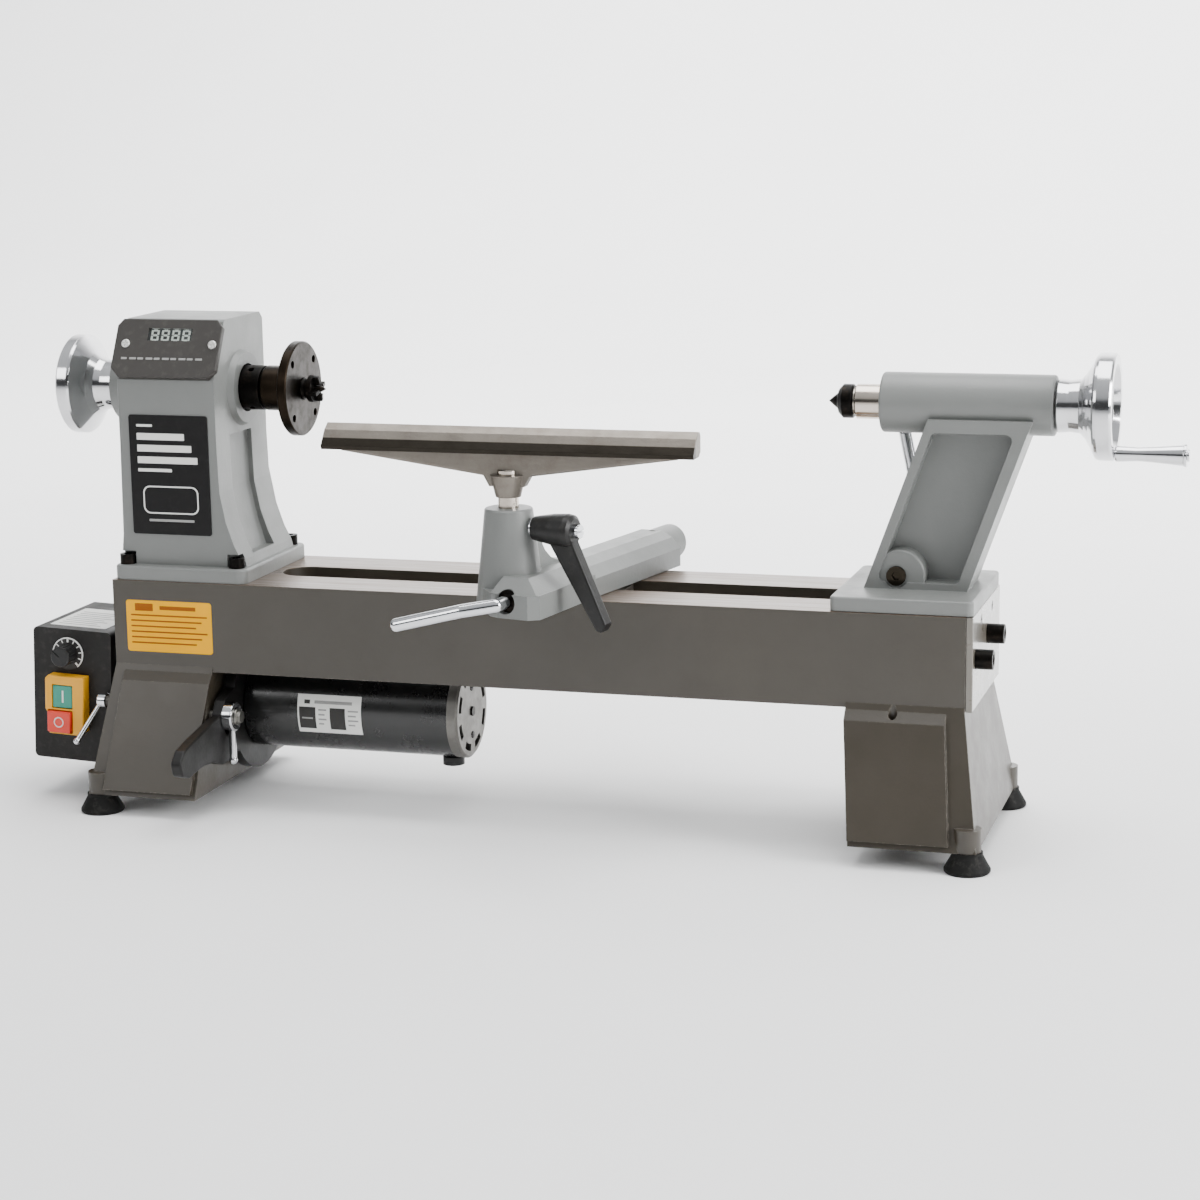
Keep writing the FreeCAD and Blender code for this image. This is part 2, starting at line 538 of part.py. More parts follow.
# ---------------------------------------------------------------------------
# belt and motor
# ---------------------------------------------------------------------------
def belt_loop(extra):
    r_top = SPINDLE_PULLEY_RADII[BELT_STEP] + extra
    r_low = MOTOR_PULLEY_RADII[BELT_STEP] + extra
    distance = SPINDLE_Z - MOTOR_Z
    lean = math.asin((r_top - r_low) / distance)
    c, s = math.cos(lean), math.sin(lean)
    x = PULLEY_STEP_CENTRES[BELT_STEP] - BELT_WIDTH / 2
    top_r, top_l = Vector(x, r_top * c, SPINDLE_Z - r_top * s), Vector(x, -r_top * c, SPINDLE_Z - r_top * s)
    low_r, low_l = Vector(x, r_low * c, MOTOR_Z - r_low * s), Vector(x, -r_low * c, MOTOR_Z - r_low * s)
    edges = [Part.Arc(top_l, Vector(x, 0, SPINDLE_Z + r_top), top_r).toShape(), Part.makeLine(top_r, low_r),
             Part.Arc(low_r, Vector(x, 0, MOTOR_Z - r_low), low_l).toShape(), Part.makeLine(low_l, top_l)]
    return Part.Face(Part.Wire(edges)).extrude(Vector(BELT_WIDTH, 0, 0))


keep("drive_belt", belt_loop(BELT_GAP + BELT_THICKNESS).cut(belt_loop(BELT_GAP)))

PLATE_X0, PLATE_X1 = -620.0, -611.0
pivot_y, pivot_z = MOTOR_PIVOT
stud_y, stud_z = LOCK_STUD


def make_motor_plate():
    disc = rod_x(PLATE_X0, PLATE_X1, 57.0, MOTOR_Y, MOTOR_Z)
    ear = prism_x([(0, 78 + 40), (-72, 78 + 15), (-84, 74), (-80, 58), (-62, 50), (0, 78 - 50)], PLATE_X0, PLATE_X1)
    pivot_ear = rod_x(PLATE_X0, PLATE_X1, 13.0, pivot_y, pivot_z)
    # handle that reaches forward past the leg, for lifting the motor when the belt is moved
    handle = prism_x([(-60, 84), (-84, 82), (-99.6, 80), (-134.7, 74.5), (-151, 70.5), (-160.5, 62), (-157, 51),
                      (-143.7, 46.5), (-115.5, 49.4), (-96.6, 47.3), (-80.9, 41.8), (-60, 42)], PLATE_X0, PLATE_X1)
    handle = soften(handle, 5.0, lambda e: e.BoundBox.XLength > 8 and e.CenterOfMass.y < -140)
    handle = soften(handle, 1.5, lambda e: e.BoundBox.XLength < 0.01 and e.CenterOfMass.y < -90)
    body = fuse([disc, ear, pivot_ear, handle])
    body = body.cut(rod_x(PLATE_X0 - 1, PLATE_X1 + 1, 5.0 + FIT, *MOTOR_PIVOT))
    body = body.cut(rod_x(PLATE_X0 - 30, PLATE_X1 + 1, 12.0, MOTOR_Y, MOTOR_Z))
    # curved slot for the lock stud, centred on the pivot
    reach = math.hypot(stud_y - pivot_y, stud_z - pivot_z)
    at = math.degrees(math.atan2(stud_z - pivot_z, stud_y - pivot_y)) % 360
    lower = at + MOTOR_SWING + 0.4
    slot = ring_sector_x(PLATE_X0 - 1, PLATE_X1 + 1, reach - 4.6, reach + 4.6, at, lower, pivot_y, pivot_z)
    for ang in (at, lower):
        a = math.radians(ang)
        slot = slot.fuse(rod_x(PLATE_X0 - 1, PLATE_X1 + 1, 4.6, pivot_y + reach * math.cos(a),
                               pivot_z + reach * math.sin(a)))
    body = body.cut(slot)
    for k in range(4):
        a = math.radians(45 + 90 * k)
        body = body.cut(rod_x(PLATE_X0 - 1, PLATE_X1 + 1, 2.6, 28 * math.cos(a), MOTOR_Z + 28 * math.sin(a)))
        body = body.cut(cone_x(PLATE_X0 - 0.1, PLATE_X0 + 3, 5.2, 2.6, 28 * math.cos(a), MOTOR_Z + 28 * math.sin(a)))
    return body


keep("motor_plate", make_motor_plate())
pivot_pins.append(fuse([rod_x(-633.0, -610.5, 5.0, *MOTOR_PIVOT), hex_x(-610.5, -604.0, 15.0, *MOTOR_PIVOT)]))
keep("pivot_pins", group(pivot_pins))
lock_hub = rod_x(-610.4, -602.0, 12.0, stud_y, stud_z)
lock_hub = soften(lock_hub, 1.5, lambda e: e.CenterOfMass.x > -602.1)
lock_arm = rod_between((-606.2, stud_y, stud_z - 8.0), (-605.2, stud_y - 3.0, stud_z - 36.0), 3.0)
lock_arm = lock_arm.fuse(Part.makeSphere(3.6, Vector(-605.2, stud_y - 3.0, stud_z - 36.0)))
keep("motor_lock_lever", fuse([lock_hub, lock_arm]).cut(rod_x(-612, -590, 4.0, stud_y, stud_z)))
keep("motor_lock_stud", fuse([rod_x(-633.0, -602.0, 4.0, stud_y, stud_z), rod_x(-602.0, -600.4, 7.0, stud_y, stud_z),
                              rod_x(-600.4, -597.6, 5.0, stud_y, stud_z)]))

motor_screws = [
    fuse([cone_x(PLATE_X0 + 0.1, PLATE_X0 + 2.9, 5.0, 2.5, 28 * math.cos(math.radians(a)),
                 MOTOR_Z + 28 * math.sin(math.radians(a))),
          rod_x(PLATE_X0 + 2.8, -603.0, 2.5, 28 * math.cos(math.radians(a)), MOTOR_Z + 28 * math.sin(math.radians(a)))])
    for a in (45, 135, 225, 315)]

bell = turned([(PLATE_X1, 7.0 + FIT), (PLATE_X1, MOTOR_R - 1.5), (PLATE_X1 + 1.5, MOTOR_R), (-602.0, MOTOR_R),
               (-602.0, MOTOR_R - 2.6), (-597.0, MOTOR_R - 2.6), (-597.0, 7.0 + FIT)], MOTOR_Y, MOTOR_Z)
for a in (45, 135, 225, 315):
    bell = bell.cut(rod_x(-612, -602.5, 2.6, 28 * math.cos(math.radians(a)), MOTOR_Z + 28 * math.sin(math.radians(a))))
can = rod_x(-602.0, -432.0, MOTOR_R, MOTOR_Y, MOTOR_Z).cut(rod_x(-603, -431, MOTOR_R - 2.5, MOTOR_Y, MOTOR_Z))
for side in (-1, 1):
    can = can.cut(rod_z(MOTOR_Z + side * 38 - 6, MOTOR_Z + side * 38 + 6, 6.2, -440.0, MOTOR_Y))
keep("motor_can", fuse([can, bell]))

end_cap = turned([(-436.0, 7.0 + FIT), (-436.0, MOTOR_R - 2.7), (-432.0, MOTOR_R - 2.7), (-432.0, MOTOR_R + 0.6),
                  (-424.6, MOTOR_R + 0.6), (-423.0, MOTOR_R - 1.4), (-423.0, 0.0), (-429.0, 0.0),
                  (-429.0, 7.0 + FIT)], MOTOR_Y, MOTOR_Z)
for k in range(8):
    start = 45 * k + 10
    end_cap = end_cap.cut(ring_sector_x(-438, -420, 27.0, 33.0, start, start + 26, MOTOR_Y, MOTOR_Z))
for k in range(2):
    a = math.radians(90 + 180 * k)
    end_cap = end_cap.cut(rod_x(-425.5, -420, 3.0, 20 * math.cos(a), MOTOR_Z + 20 * math.sin(a)))
keep("motor_end_cap", end_cap)
keep("motor_screws", group(motor_screws + [
    fuse([rod_x(-425.4, -422.4, 2.9, 20 * math.cos(a), MOTOR_Z + 20 * math.sin(a))]).cut(
        box(-423.3, -420, 20 * math.cos(a) - 3, 20 * math.cos(a) + 3, MOTOR_Z + 20 * math.sin(a) - 0.4,
            MOTOR_Z + 20 * math.sin(a) + 0.4)) for a in (math.pi / 2, -math.pi / 2)]
    + [rod_x(-423.0, -421.6, 4.0, MOTOR_Y, MOTOR_Z)]))

keep("motor_brushes", group([
    fuse([rod_z(MOTOR_Z - 45.0, MOTOR_Z - 35.5, 6.1, -440.0, 0), rod_z(MOTOR_Z - 45.5, MOTOR_Z - 38.7, 9.0, -440.0, 0)]),
    fuse([rod_z(MOTOR_Z + 35.5, MOTOR_Z + 43.0, 6.1, -440.0, 0), rod_z(MOTOR_Z + 38.7, MOTOR_Z + 43.5, 9.0, -440.0, 0)]),
    box(-443.5, -436.5, -3.5, 3.5, MOTOR_Z + 12.4, MOTOR_Z + 34.8),
    box(-443.5, -436.5, -3.5, 3.5, MOTOR_Z - 34.8, MOTOR_Z - 12.4)]))
keep("motor_magnets", group([ring_sector_x(-585, -470, 26.0, 35.4, 25, 155, MOTOR_Y, MOTOR_Z),
                             ring_sector_x(-585, -470, 26.0, 35.4, 205, 335, MOTOR_Y, MOTOR_Z)]))
keep("motor_shaft", rod_x(-691.0, -429.5, 7.0, MOTOR_Y, MOTOR_Z))
core = rod_x(-588.0, -468.0, 25.0, MOTOR_Y, MOTOR_Z).cut(rod_x(-590, -460, 7.0, MOTOR_Y, MOTOR_Z))
for k in range(12):
    a = math.radians(30 * k)
    core = core.cut(rod_x(-590, -460, 1.6, 23.6 * math.cos(a), MOTOR_Z + 23.6 * math.sin(a)))
commutator = rod_x(-452.0, -436.0, 12.0, MOTOR_Y, MOTOR_Z).cut(rod_x(-460, -430, 7.0, MOTOR_Y, MOTOR_Z))
keep("motor_armature", group([core, commutator]))
keep("motor_pulley", stepped_pulley(MOTOR_PULLEY_RADII, 7.0, MOTOR_Y, MOTOR_Z))


# ---------------------------------------------------------------------------
# control box, drawn square and then leaned over with the leg
# ---------------------------------------------------------------------------
SWITCH = (bx + 15.0, bx + 50.5, bz - 88.0, bz - 38.0)
DIAL = (bx + 31.8, bz - 20.9)
START = (bx + 22.4, bx + 39.6, bz - 65.0, bz - 46.4)
STOP = (bx + 18.4, bx + 39.6, bz - 86.0, bz - 68.0)

case = slab(bx, bx + BOX_W, by, by + BOX_D, bz - BOX_H, bz, 4.0, "y")
case = case.cut(slab(bx + 1.6, bx + BOX_W - 1.6, by + 1.6, by + BOX_D + 1, bz - BOX_H + 1.6, bz - 1.6, 2.6, "y"))
case = case.cut(rod_y(by - 1, by + 3, 3.6, *DIAL))
case = case.cut(box(SWITCH[0] + 4, SWITCH[1] - 9, by - 1, by + 3, SWITCH[2] + 2, SWITCH[3] - 5))
keep("control_box_case", boxed(case))
back = slab(bx + 2.2, bx + BOX_W - 2.2, by + BOX_D - 1.8, by + BOX_D, bz - BOX_H + 2.2, bz - 2.2, 2.4, "y")
back = back.cut(rod_y(by + BOX_D - 5, by + BOX_D + 2, 8.1, bx + 22, bz - 92))
keep("control_box_back", boxed(back))
electrics += [boxed(shape) for shape in (
    box(bx + 5, bx + 7, by + 25, by + 95, bz - 105, bz - 30),
    box(bx + 7, bx + 22, by + 35, by + 60, bz - 95, bz - 60),
    rod_y(by + 65, by + 90, 7.5, bx + 17, bz - 50),
    rod_y(by + 1.6, by + 14, 8.0, *DIAL).fuse(rod_y(by - 0.8, by + 1.7, 3.5, *DIAL)).cut(
        rod_y(by - 12, by + 9, 3.05, *DIAL)),
    box(SWITCH[0] + 4.3, SWITCH[1] - 9.3, by + 0.4, by + 22, SWITCH[2] + 2.3, SWITCH[3] - 5.3))]
keep("control_electrics", group(electrics))
knob = rod_y(by - 15.0, by - 1.2, 8.6, *DIAL)
knob = soften(knob, 1.2, lambda e: e.CenterOfMass.y < by - 14.9)
for k in range(12):
    a = math.radians(30 * k + 15)
    knob = knob.cut(rod_y(by - 16, by - 3.5, 0.8, DIAL[0] + 8.9 * math.cos(a), DIAL[1] + 8.9 * math.sin(a)))
knob = knob.cut(box(DIAL[0] - 0.6, DIAL[0] + 0.6, by - 16, by - 14.2, DIAL[1] + 1, DIAL[1] + 9))
keep("speed_knob", boxed(knob.fuse(rod_y(by - 1.3, by + 8, 3.0, *DIAL)).rotated(
    Vector(DIAL[0], by, DIAL[1]), Vector(0, 1, 0), -55)))

housing = prism_y([(SWITCH[0] + 3, SWITCH[3]), (SWITCH[1], SWITCH[3]), (SWITCH[1], SWITCH[2] + 3),
                   (SWITCH[1] - 5, SWITCH[2]), (SWITCH[0] + 3.5, SWITCH[2]), (SWITCH[0] + 2.5, SWITCH[2] + 17),
                   (SWITCH[0], SWITCH[2] + 21), (SWITCH[0], SWITCH[3] - 3)], by - 10.5, by)
housing = soften(housing, 1.5, lambda e: e.BoundBox.YMax < by - 10.4)
housing = housing.cut(box(START[0] - 0.8, START[1] + 0.8, by - 12, by + 1, START[2] - 0.8, START[3] + 0.8))
housing = housing.cut(box(STOP[0] - 0.8, STOP[1] + 0.8, by - 12, by + 1, STOP[2] - 0.8, STOP[3] + 0.8))
keep("switch_housing", boxed(housing))
start = slab(START[0], START[1], by - 9.8, by - 3.2, START[2], START[3], 1.2, "y")
start = start.cut(box((START[0] + START[1]) / 2 - 1.0, (START[0] + START[1]) / 2 + 1.0, by - 10.2, by - 9.3,
                      START[2] + 4, START[3] - 4))
keep("start_button", boxed(start))
stop = slab(STOP[0], STOP[1], by - 13.6, by - 3.2, STOP[2], STOP[3], 1.6, "y")
stop = soften(stop, 1.2, lambda e: e.BoundBox.YMax < by - 13.5)
mark = rod_y(by - 14.2, by - 13.1, 4.6, (STOP[0] + STOP[1]) / 2, (STOP[2] + STOP[3]) / 2).cut(
    rod_y(by - 15, by - 12, 3.4, (STOP[0] + STOP[1]) / 2, (STOP[2] + STOP[3]) / 2))
keep("stop_button", boxed(stop.cut(mark)))
gland = fuse([rod_y(by + BOX_D - 6, by + BOX_D + 1, 8.0, bx + 22, bz - 92),
              hex_y(by + BOX_D + 0.3, by + BOX_D + 6, 20.0, bx + 22, bz - 92),
              rod_y(by + BOX_D + 6, by + BOX_D + 15, 8.4, bx + 22, bz - 92)])
keep("cable_gland", boxed(gland.cut(rod_y(by + BOX_D - 8, by + BOX_D + 20, 4.2, bx + 22, bz - 92))))

# small latch lever on the left flank of the leg, seen beside the switch
latch = rod_x(-726.0, -718.8, 6.0, *LATCH)
latch = soften(latch, 1.0, lambda e: e.CenterOfMass.x < -725.9)
latch = latch.fuse(rod_between((-723.0, LATCH[0], LATCH[1]), (-740.0, LATCH[0] - 16.0, LATCH[1] - 32.0), 2.2))
latch = latch.fuse(Part.makeSphere(3.0, Vector(-740.0, LATCH[0] - 16.0, LATCH[1] - 32.0)))
keep("side_latch_lever", latch)


# ---------------------------------------------------------------------------
# banjo and tool rest.  The banjo is drawn square: across = x, along = y, and then
# turned into place about the tool post.
# ---------------------------------------------------------------------------
def banjoed(shape):
    s = shape.rotated(Vector(0, 0, 0), Vector(0, 0, 1), -BANJO_ANGLE)
    return s.translated(Vector(POST_X, POST_Y, 0))


turn = math.radians(BANJO_ANGLE)
BOLT_X = POST_X + CAM_ACROSS * math.cos(turn) + BANJO_BOLT_ALONG * math.sin(turn)
BOLT_Y = POST_Y - CAM_ACROSS * math.sin(turn) + BANJO_BOLT_ALONG * math.cos(turn)
BANJO_FLOOR = BED_TOP + 0.4
print("banjo bolt at", round(BOLT_X, 3), round(BOLT_Y, 3))


def make_banjo():
    column = cone_z(BANJO_FLOOR, 267.5, 27.0, 18.6, 0, 0)
    column = soften(column, 2.0, lambda e: e.CenterOfMass.z > 267)
    section = [(-7, BANJO_FLOOR), (42, BANJO_FLOOR), (42, 204.5), (34.5, 213.0), (25, 217.8), (6, 217.8), (-7, 210.5)]
    arm = prism_y(section, -18.0, 206.0)
    front = prism_z([(-20, 0), (-14, -20), (4, -37), (12, -40), (38, -40), (45.5, -34), (44, 10), (42, 60), (-7, 60)],
                    BANJO_FLOOR, 208.0)
    front_cap = rect_loft((4, 44, -36, 40, 208.0), (8, 30, -24, 40, 218.5))
    gusset_points = [(8, 200), (66, 200), (66, 217.5), (48, 219.5), (36, 224.0), (27, 231.0), (20, 241.0), (14, 256.0),
                     (8, 258.0)]
    pts = [Vector(-8, y, z) for y, z in gusset_points]
    pts.append(pts[0])
    gusset = Part.Face(Part.makePolygon(pts)).extrude(Vector(24, 0, 0))
    end_boss = Part.makeCylinder(14.8, 34.0, Vector(CAM_ACROSS, 202.0, 203.6), Vector(0, 1, 0))
    end_boss = end_boss.common(box(-20, 60, 190, 250, BANJO_FLOOR, 240))
    end_boss = soften(end_boss, 1.5, lambda e: e.CenterOfMass.y > 235.9)
    body = fuse([column, arm, front, front_cap, gusset, end_boss])
    # cavity for the clamp eye, open below
    body = body.cut(box(CAM_ACROSS - 14.0, CAM_ACROSS + 14.0, 46.0, 190.0, BANJO_FLOOR - 1, 213.6))
    # bore of the cam shaft, closed at the far end
    body = body.cut(Part.makeCylinder(9.0, 240.0, Vector(CAM_ACROSS, -45.0, CAM_Z), Vector(0, 1, 0)).common(
        box(-30, 60, -50, 192, 180, 240)))
    body = body.cut(Part.makeCylinder(7.05, 40.0, Vector(CAM_ACROSS, 190.0, CAM_Z), Vector(0, 1, 0)))
    # tool post hole and the hole of the lock screw
    body = body.cut(rod_z(201.0, 270.0, POST_R + FIT, 0, 0))
    body = body.cut(Part.makeCylinder(4.5, 40.0, Vector(4.0, 0, LOCK_Z), Vector(1, 0, 0)))
    return body


keep("banjo_casting", banjoed(make_banjo()))

# cam shaft with its eccentric middle, and the polished lever at its front end
shaft = Part.makeCylinder(8.95, 76.0, Vector(CAM_ACROSS, -34.0, CAM_Z), Vector(0, 1, 0))
middle = Part.makeCylinder(6.8, 150.0, Vector(CAM_ACROSS, 41.0, CAM_Z + 1.2), Vector(0, 1, 0))
tail_end = Part.makeCylinder(7.0, 36.0, Vector(CAM_ACROSS, 191.0, CAM_Z), Vector(0, 1, 0))
keep("banjo_cam_shaft", banjoed(fuse([shaft, middle, tail_end])))
lever_points = [(CAM_ACROSS, -34.0, CAM_Z), (CAM_ACROSS, -52.0, CAM_Z), (CAM_ACROSS - 26.0, -60.0, CAM_Z - 5.0),
                (-61.0, -68.0, 183.0)]
lever = Part.makeCylinder(5.2, 18.0, Vector(*lever_points[0]), Vector(0, -1, 0))
for a, b in zip(lever_points[1:], lever_points[2:]):
    lever = lever.fuse(rod_between(a, b, 5.2))
for p in lever_points[1:-1]:
    lever = lever.fuse(Part.makeSphere(5.2, Vector(*p)))
lever = lever.fuse(Part.makeSphere(5.2, Vector(*lever_points[-1])))
keep("banjo_lever", banjoed(lever.removeSplitter()))

# eye bolt: ring round the cam shaft, shank down through the slot
eye = Part.makeCylinder(11.2, 22.0, Vector(CAM_ACROSS, BANJO_BOLT_ALONG - 11.0, CAM_Z), Vector(0, 1, 0))
eye = eye.cut(Part.makeCylinder(8.3, 30.0, Vector(CAM_ACROSS, BANJO_BOLT_ALONG - 15.0, CAM_Z), Vector(0, 1, 0)))
eye = eye.fuse(rod_z(138.0, CAM_Z - 9.2, 6.0, CAM_ACROSS, BANJO_BOLT_ALONG))
keep("banjo_eye_bolt", banjoed(group([eye.removeSplitter(), fuse([rod_z(159.8, 161.6, 11.0, CAM_ACROSS, BANJO_BOLT_ALONG),
    hex_z(149.0, 159.8, 19.0, CAM_ACROSS, BANJO_BOLT_ALONG)]).cut(rod_z(140, 165, 6.0, CAM_ACROSS, BANJO_BOLT_ALONG))])))
plate = slab(BOLT_X - 26, BOLT_X + 26, -34, 34, 162.0, 174.4, 3.0, "z")
tongue = box(BOLT_X - 22, BOLT_X + 22, -SLOT_HALF_WIDTH + 0.5, SLOT_HALF_WIDTH - 0.5, 174.3, 186.5)
keep("banjo_clamp_plate", plate.fuse(tongue).cut(rod_z(150, 195, 6.0 + FIT, BOLT_X, BOLT_Y)).removeSplitter())

# tool rest: long bevelled rail on a triangular web and a round post
rail_section = [(-98.5, 328.6), (-94.5, 327.6), (-93.0, 325.0), (-93.0, 313.0), (-98.0, 309.6), (-113.5, 309.6),
                (-114.5, 312.6), (-105.5, 324.0)]
rail = prism_x(rail_section, -501.5, -203.0)
web = prism_y([(-487.0, 310.5), (-217.0, 310.5), (-217.0, 308.2), (-333.5, 292.0), (-338.0, 284.0), (-366.0, 284.0),
               (-370.5, 292.0), (-487.0, 308.2)], -109.0, -100.0)
web = soften(web, 2.0, lambda e: e.BoundBox.ZMax < 309 and e.BoundBox.YLength < 0.1 and e.Length > 50)
neck = cone_z(276.0, 293.0, POST_R + 1.8, 14.0, POST_X, POST_Y)
keep("tool_rest", fuse([rail, web, neck]).cut(rod_z(270.0, 297.0, POST_R + FIT, POST_X, POST_Y)))
keep("tool_rest_post", soften(rod_z(214.0, 296.5, POST_R, POST_X, POST_Y), 1.0, lambda e: e.CenterOfMass.z < 214.1))

# lock screw, clamping lever and the bright screw in its end
stud = Part.makeCylinder(4.0, 49.6, Vector(8.6, 0, LOCK_Z), Vector(1, 0, 0))
bright = Part.makeCylinder(5.2, 4.6, Vector(58.1, 0, LOCK_Z), Vector(1, 0, 0))
bright = bright.cut(box(61.2, 63, -6, 6, LOCK_Z - 0.6, LOCK_Z + 0.6))
washer = Part.makeCylinder(7.5, 1.7, Vector(21.3, 0, LOCK_Z), Vector(1, 0, 0))
keep("rest_lock_stud", banjoed(fuse([stud, bright, washer])))
hub_profile = [(23.2, 4.0), (23.2, 9.2), (26.0, 9.8), (40.0, 12.2), (52.0, 13.0), (56.0, 12.2), (58.0, 9.5), (58.0, 4.0)]
hub_pts = [Vector(u, 0, LOCK_Z + r) for u, r in hub_profile]
hub_pts.append(hub_pts[0])
hub = Part.Face(Part.makePolygon(hub_pts)).revolve(Vector(0, 0, LOCK_Z), Vector(1, 0, 0), 360)
low_arm = [(36, LOCK_Z - 2), (55.5, LOCK_Z - 2), (86.0, 184.0), (82.0, 177.5), (76.5, 179.0), (40, LOCK_Z - 14)]
lock_arm = prism_y(low_arm, -5.6, 5.6)
lock_arm = soften(lock_arm, 2.2, lambda e: e.Length > 40)
keep("rest_lock_lever", banjoed(fuse([hub, lock_arm]).cut(
    Part.makeCylinder(4.0, 80, Vector(0, 0, LOCK_Z), Vector(1, 0, 0)))))

# ---------------------------------------------------------------------------
# tailstock
# ---------------------------------------------------------------------------
TAIL_BASE_TOP = 200.7


def make_tailstock():
    base = slab(-110.3, -0.3, -66.0, 66.0, BED_TOP + 0.35, TAIL_BASE_TOP, 5.0, "z")
    base = soften(base, 1.8, lambda e: e.BoundBox.ZMin > TAIL_BASE_TOP - 0.1)
    outline = [(-92.0, TAIL_BASE_TOP - 2), (-12.0, TAIL_BASE_TOP - 2), (36.0, 332.0), (-43.0, 332.0)]
    column = prism_y(outline, -27.0, 27.0)
    # the column is an I: a web with ribs at its two leaning edges
    lean = 48.0 / (332.0 - TAIL_BASE_TOP + 2)
    z0, z1 = 206.0, 322.0
    inner = [(-92.0 + (z0 - TAIL_BASE_TOP) * lean + 8.5, z0), (-12.0 + (z0 - TAIL_BASE_TOP) * lean - 8.5, z0),
             (-12.0 + (z1 - TAIL_BASE_TOP) * lean - 8.5, z1), (-92.0 + (z1 - TAIL_BASE_TOP) * lean + 8.5, z1)]
    for y0, y1 in ((-28.0, -9.0), (9.0, 28.0)):
        pocket = prism_y(inner, y0, y1)
        column = column.cut(soften(pocket, 5.0, lambda e: e.BoundBox.YLength > 15))
    boss = rod_y(-25.5, 29.0, 20.0, TAIL_CAM_X + 2.0, TAIL_CAM_Z).common(
        box(-100, 0, -40, 40, TAIL_BASE_TOP - 3, 260))
    boss = soften(boss, 1.5, lambda e: e.CenterOfMass.y < -25.4 and e.Length > 30)
    barrel = rod_x(-81.7, 50.6, BARREL_R)
    barrel = soften(barrel, 2.0, lambda e: abs(e.BoundBox.XLength) < 0.01)
    lock_boss = rod_y(0.0, 27.5, 9.0, -58.0, SPINDLE_Z)
    body = fuse([base, column, boss, barrel, lock_boss])
    body = body.cut(rod_x(-90, 47.5, QUILL_R + FIT))
    body = body.cut(rod_x(44.0, 52.0, 7.0 + FIT))
    # cam shaft bore, pocket for the clamp eye, slot below
    body = body.cut(rod_y(-28.0, 40.0, 7.0 + FIT, TAIL_CAM_X, TAIL_CAM_Z))
    body = body.cut(rod_y(-30.0, -25.5, 9.5, TAIL_CAM_X, TAIL_CAM_Z))
    body = body.cut(box(TAIL_CAM_X - 13, TAIL_CAM_X + 13, -11.5, 11.5, BED_TOP - 1, 225.0))
    body = body.cut(rod_y(QUILL_R - 1, 30.0, 4.2, -58.0, SPINDLE_Z))
    return body


keep("tailstock_casting", make_tailstock())

cam_shaft = fuse([rod_y(-25.7, -10.5, 7.0, TAIL_CAM_X, TAIL_CAM_Z), rod_y(-28.4, -25.7, 7.6, TAIL_CAM_X, TAIL_CAM_Z),
                  rod_y(-11.0, 11.0, 5.6, TAIL_CAM_X, TAIL_CAM_Z + 1.0),
                  rod_y(10.5, 50.0, 7.0, TAIL_CAM_X, TAIL_CAM_Z)])
cam_shaft = cam_shaft.cut(hex_y(-30, -25.5, 6.0, TAIL_CAM_X, TAIL_CAM_Z))
tail_lever = fuse([rod_y(34.0, 52.0, 9.5, TAIL_CAM_X, TAIL_CAM_Z).cut(rod_y(30, 50, 7.0, TAIL_CAM_X, TAIL_CAM_Z)),
                   rod_between((TAIL_CAM_X, 43.0, TAIL_CAM_Z + 8.0), (-66.6, 44.0, 282.0), 5.0),
                   Part.makeSphere(5.0, Vector(-66.6, 44.0, 282.0)),
                   rod_between((-66.6, 44.0, 282.0), (-73.0, 45.5, 311.0), 5.0),
                   Part.makeSphere(5.0, Vector(-73.0, 45.5, 311.0))])
keep("tail_clamp_lever", group([cam_shaft, tail_lever]))
tail_eye = rod_y(-9.5, 9.5, 10.0, TAIL_CAM_X, TAIL_CAM_Z).cut(rod_y(-12, 12, 7.0, TAIL_CAM_X, TAIL_CAM_Z))
tail_eye = tail_eye.fuse(rod_z(138.0, TAIL_CAM_Z - 8.0, 6.0, TAIL_CAM_X, 0.0))
tail_nut = fuse([rod_z(159.8, 161.9, 11.0, TAIL_CAM_X, 0.0), hex_z(149.0, 159.8, 19.0, TAIL_CAM_X, 0.0)])
keep("tail_eye_bolt", group([tail_eye.removeSplitter(), tail_nut.cut(rod_z(140, 165, 6.0, TAIL_CAM_X, 0.0))]))
plate = slab(TAIL_CAM_X - 25, TAIL_CAM_X + 25, -34, 34, 162.0, 174.4, 3.0, "z")
tongue = box(TAIL_CAM_X - 21, TAIL_CAM_X + 21, -SLOT_HALF_WIDTH + 0.5, SLOT_HALF_WIDTH - 0.5, 174.3, 187.5)
keep("tail_clamp_plate", plate.fuse(tongue).cut(rod_z(150, 195, 6.05, TAIL_CAM_X, 0.0)).removeSplitter())

quill = turned([(-102.4, 8.9), (-102.4, 12.6), (-101.5, QUILL_R), (31.5, QUILL_R), (31.5, 7.0 + FIT), (14.0, 7.0 + FIT),
                (14.0, 8.6), (-48.0, 8.6), (-48.0, 7.6)])
for k in range(9):
    x = -96.0 + 6.0 * k
    if x < -45:
        quill = quill.cut(box(x, x + 0.5, -2.5 if k % 2 else -4.5, 2.5 if k % 2 else 4.5,
                              SPINDLE_Z + QUILL_R - 0.4, SPINDLE_Z + QUILL_R + 1))
keep("quill", quill)

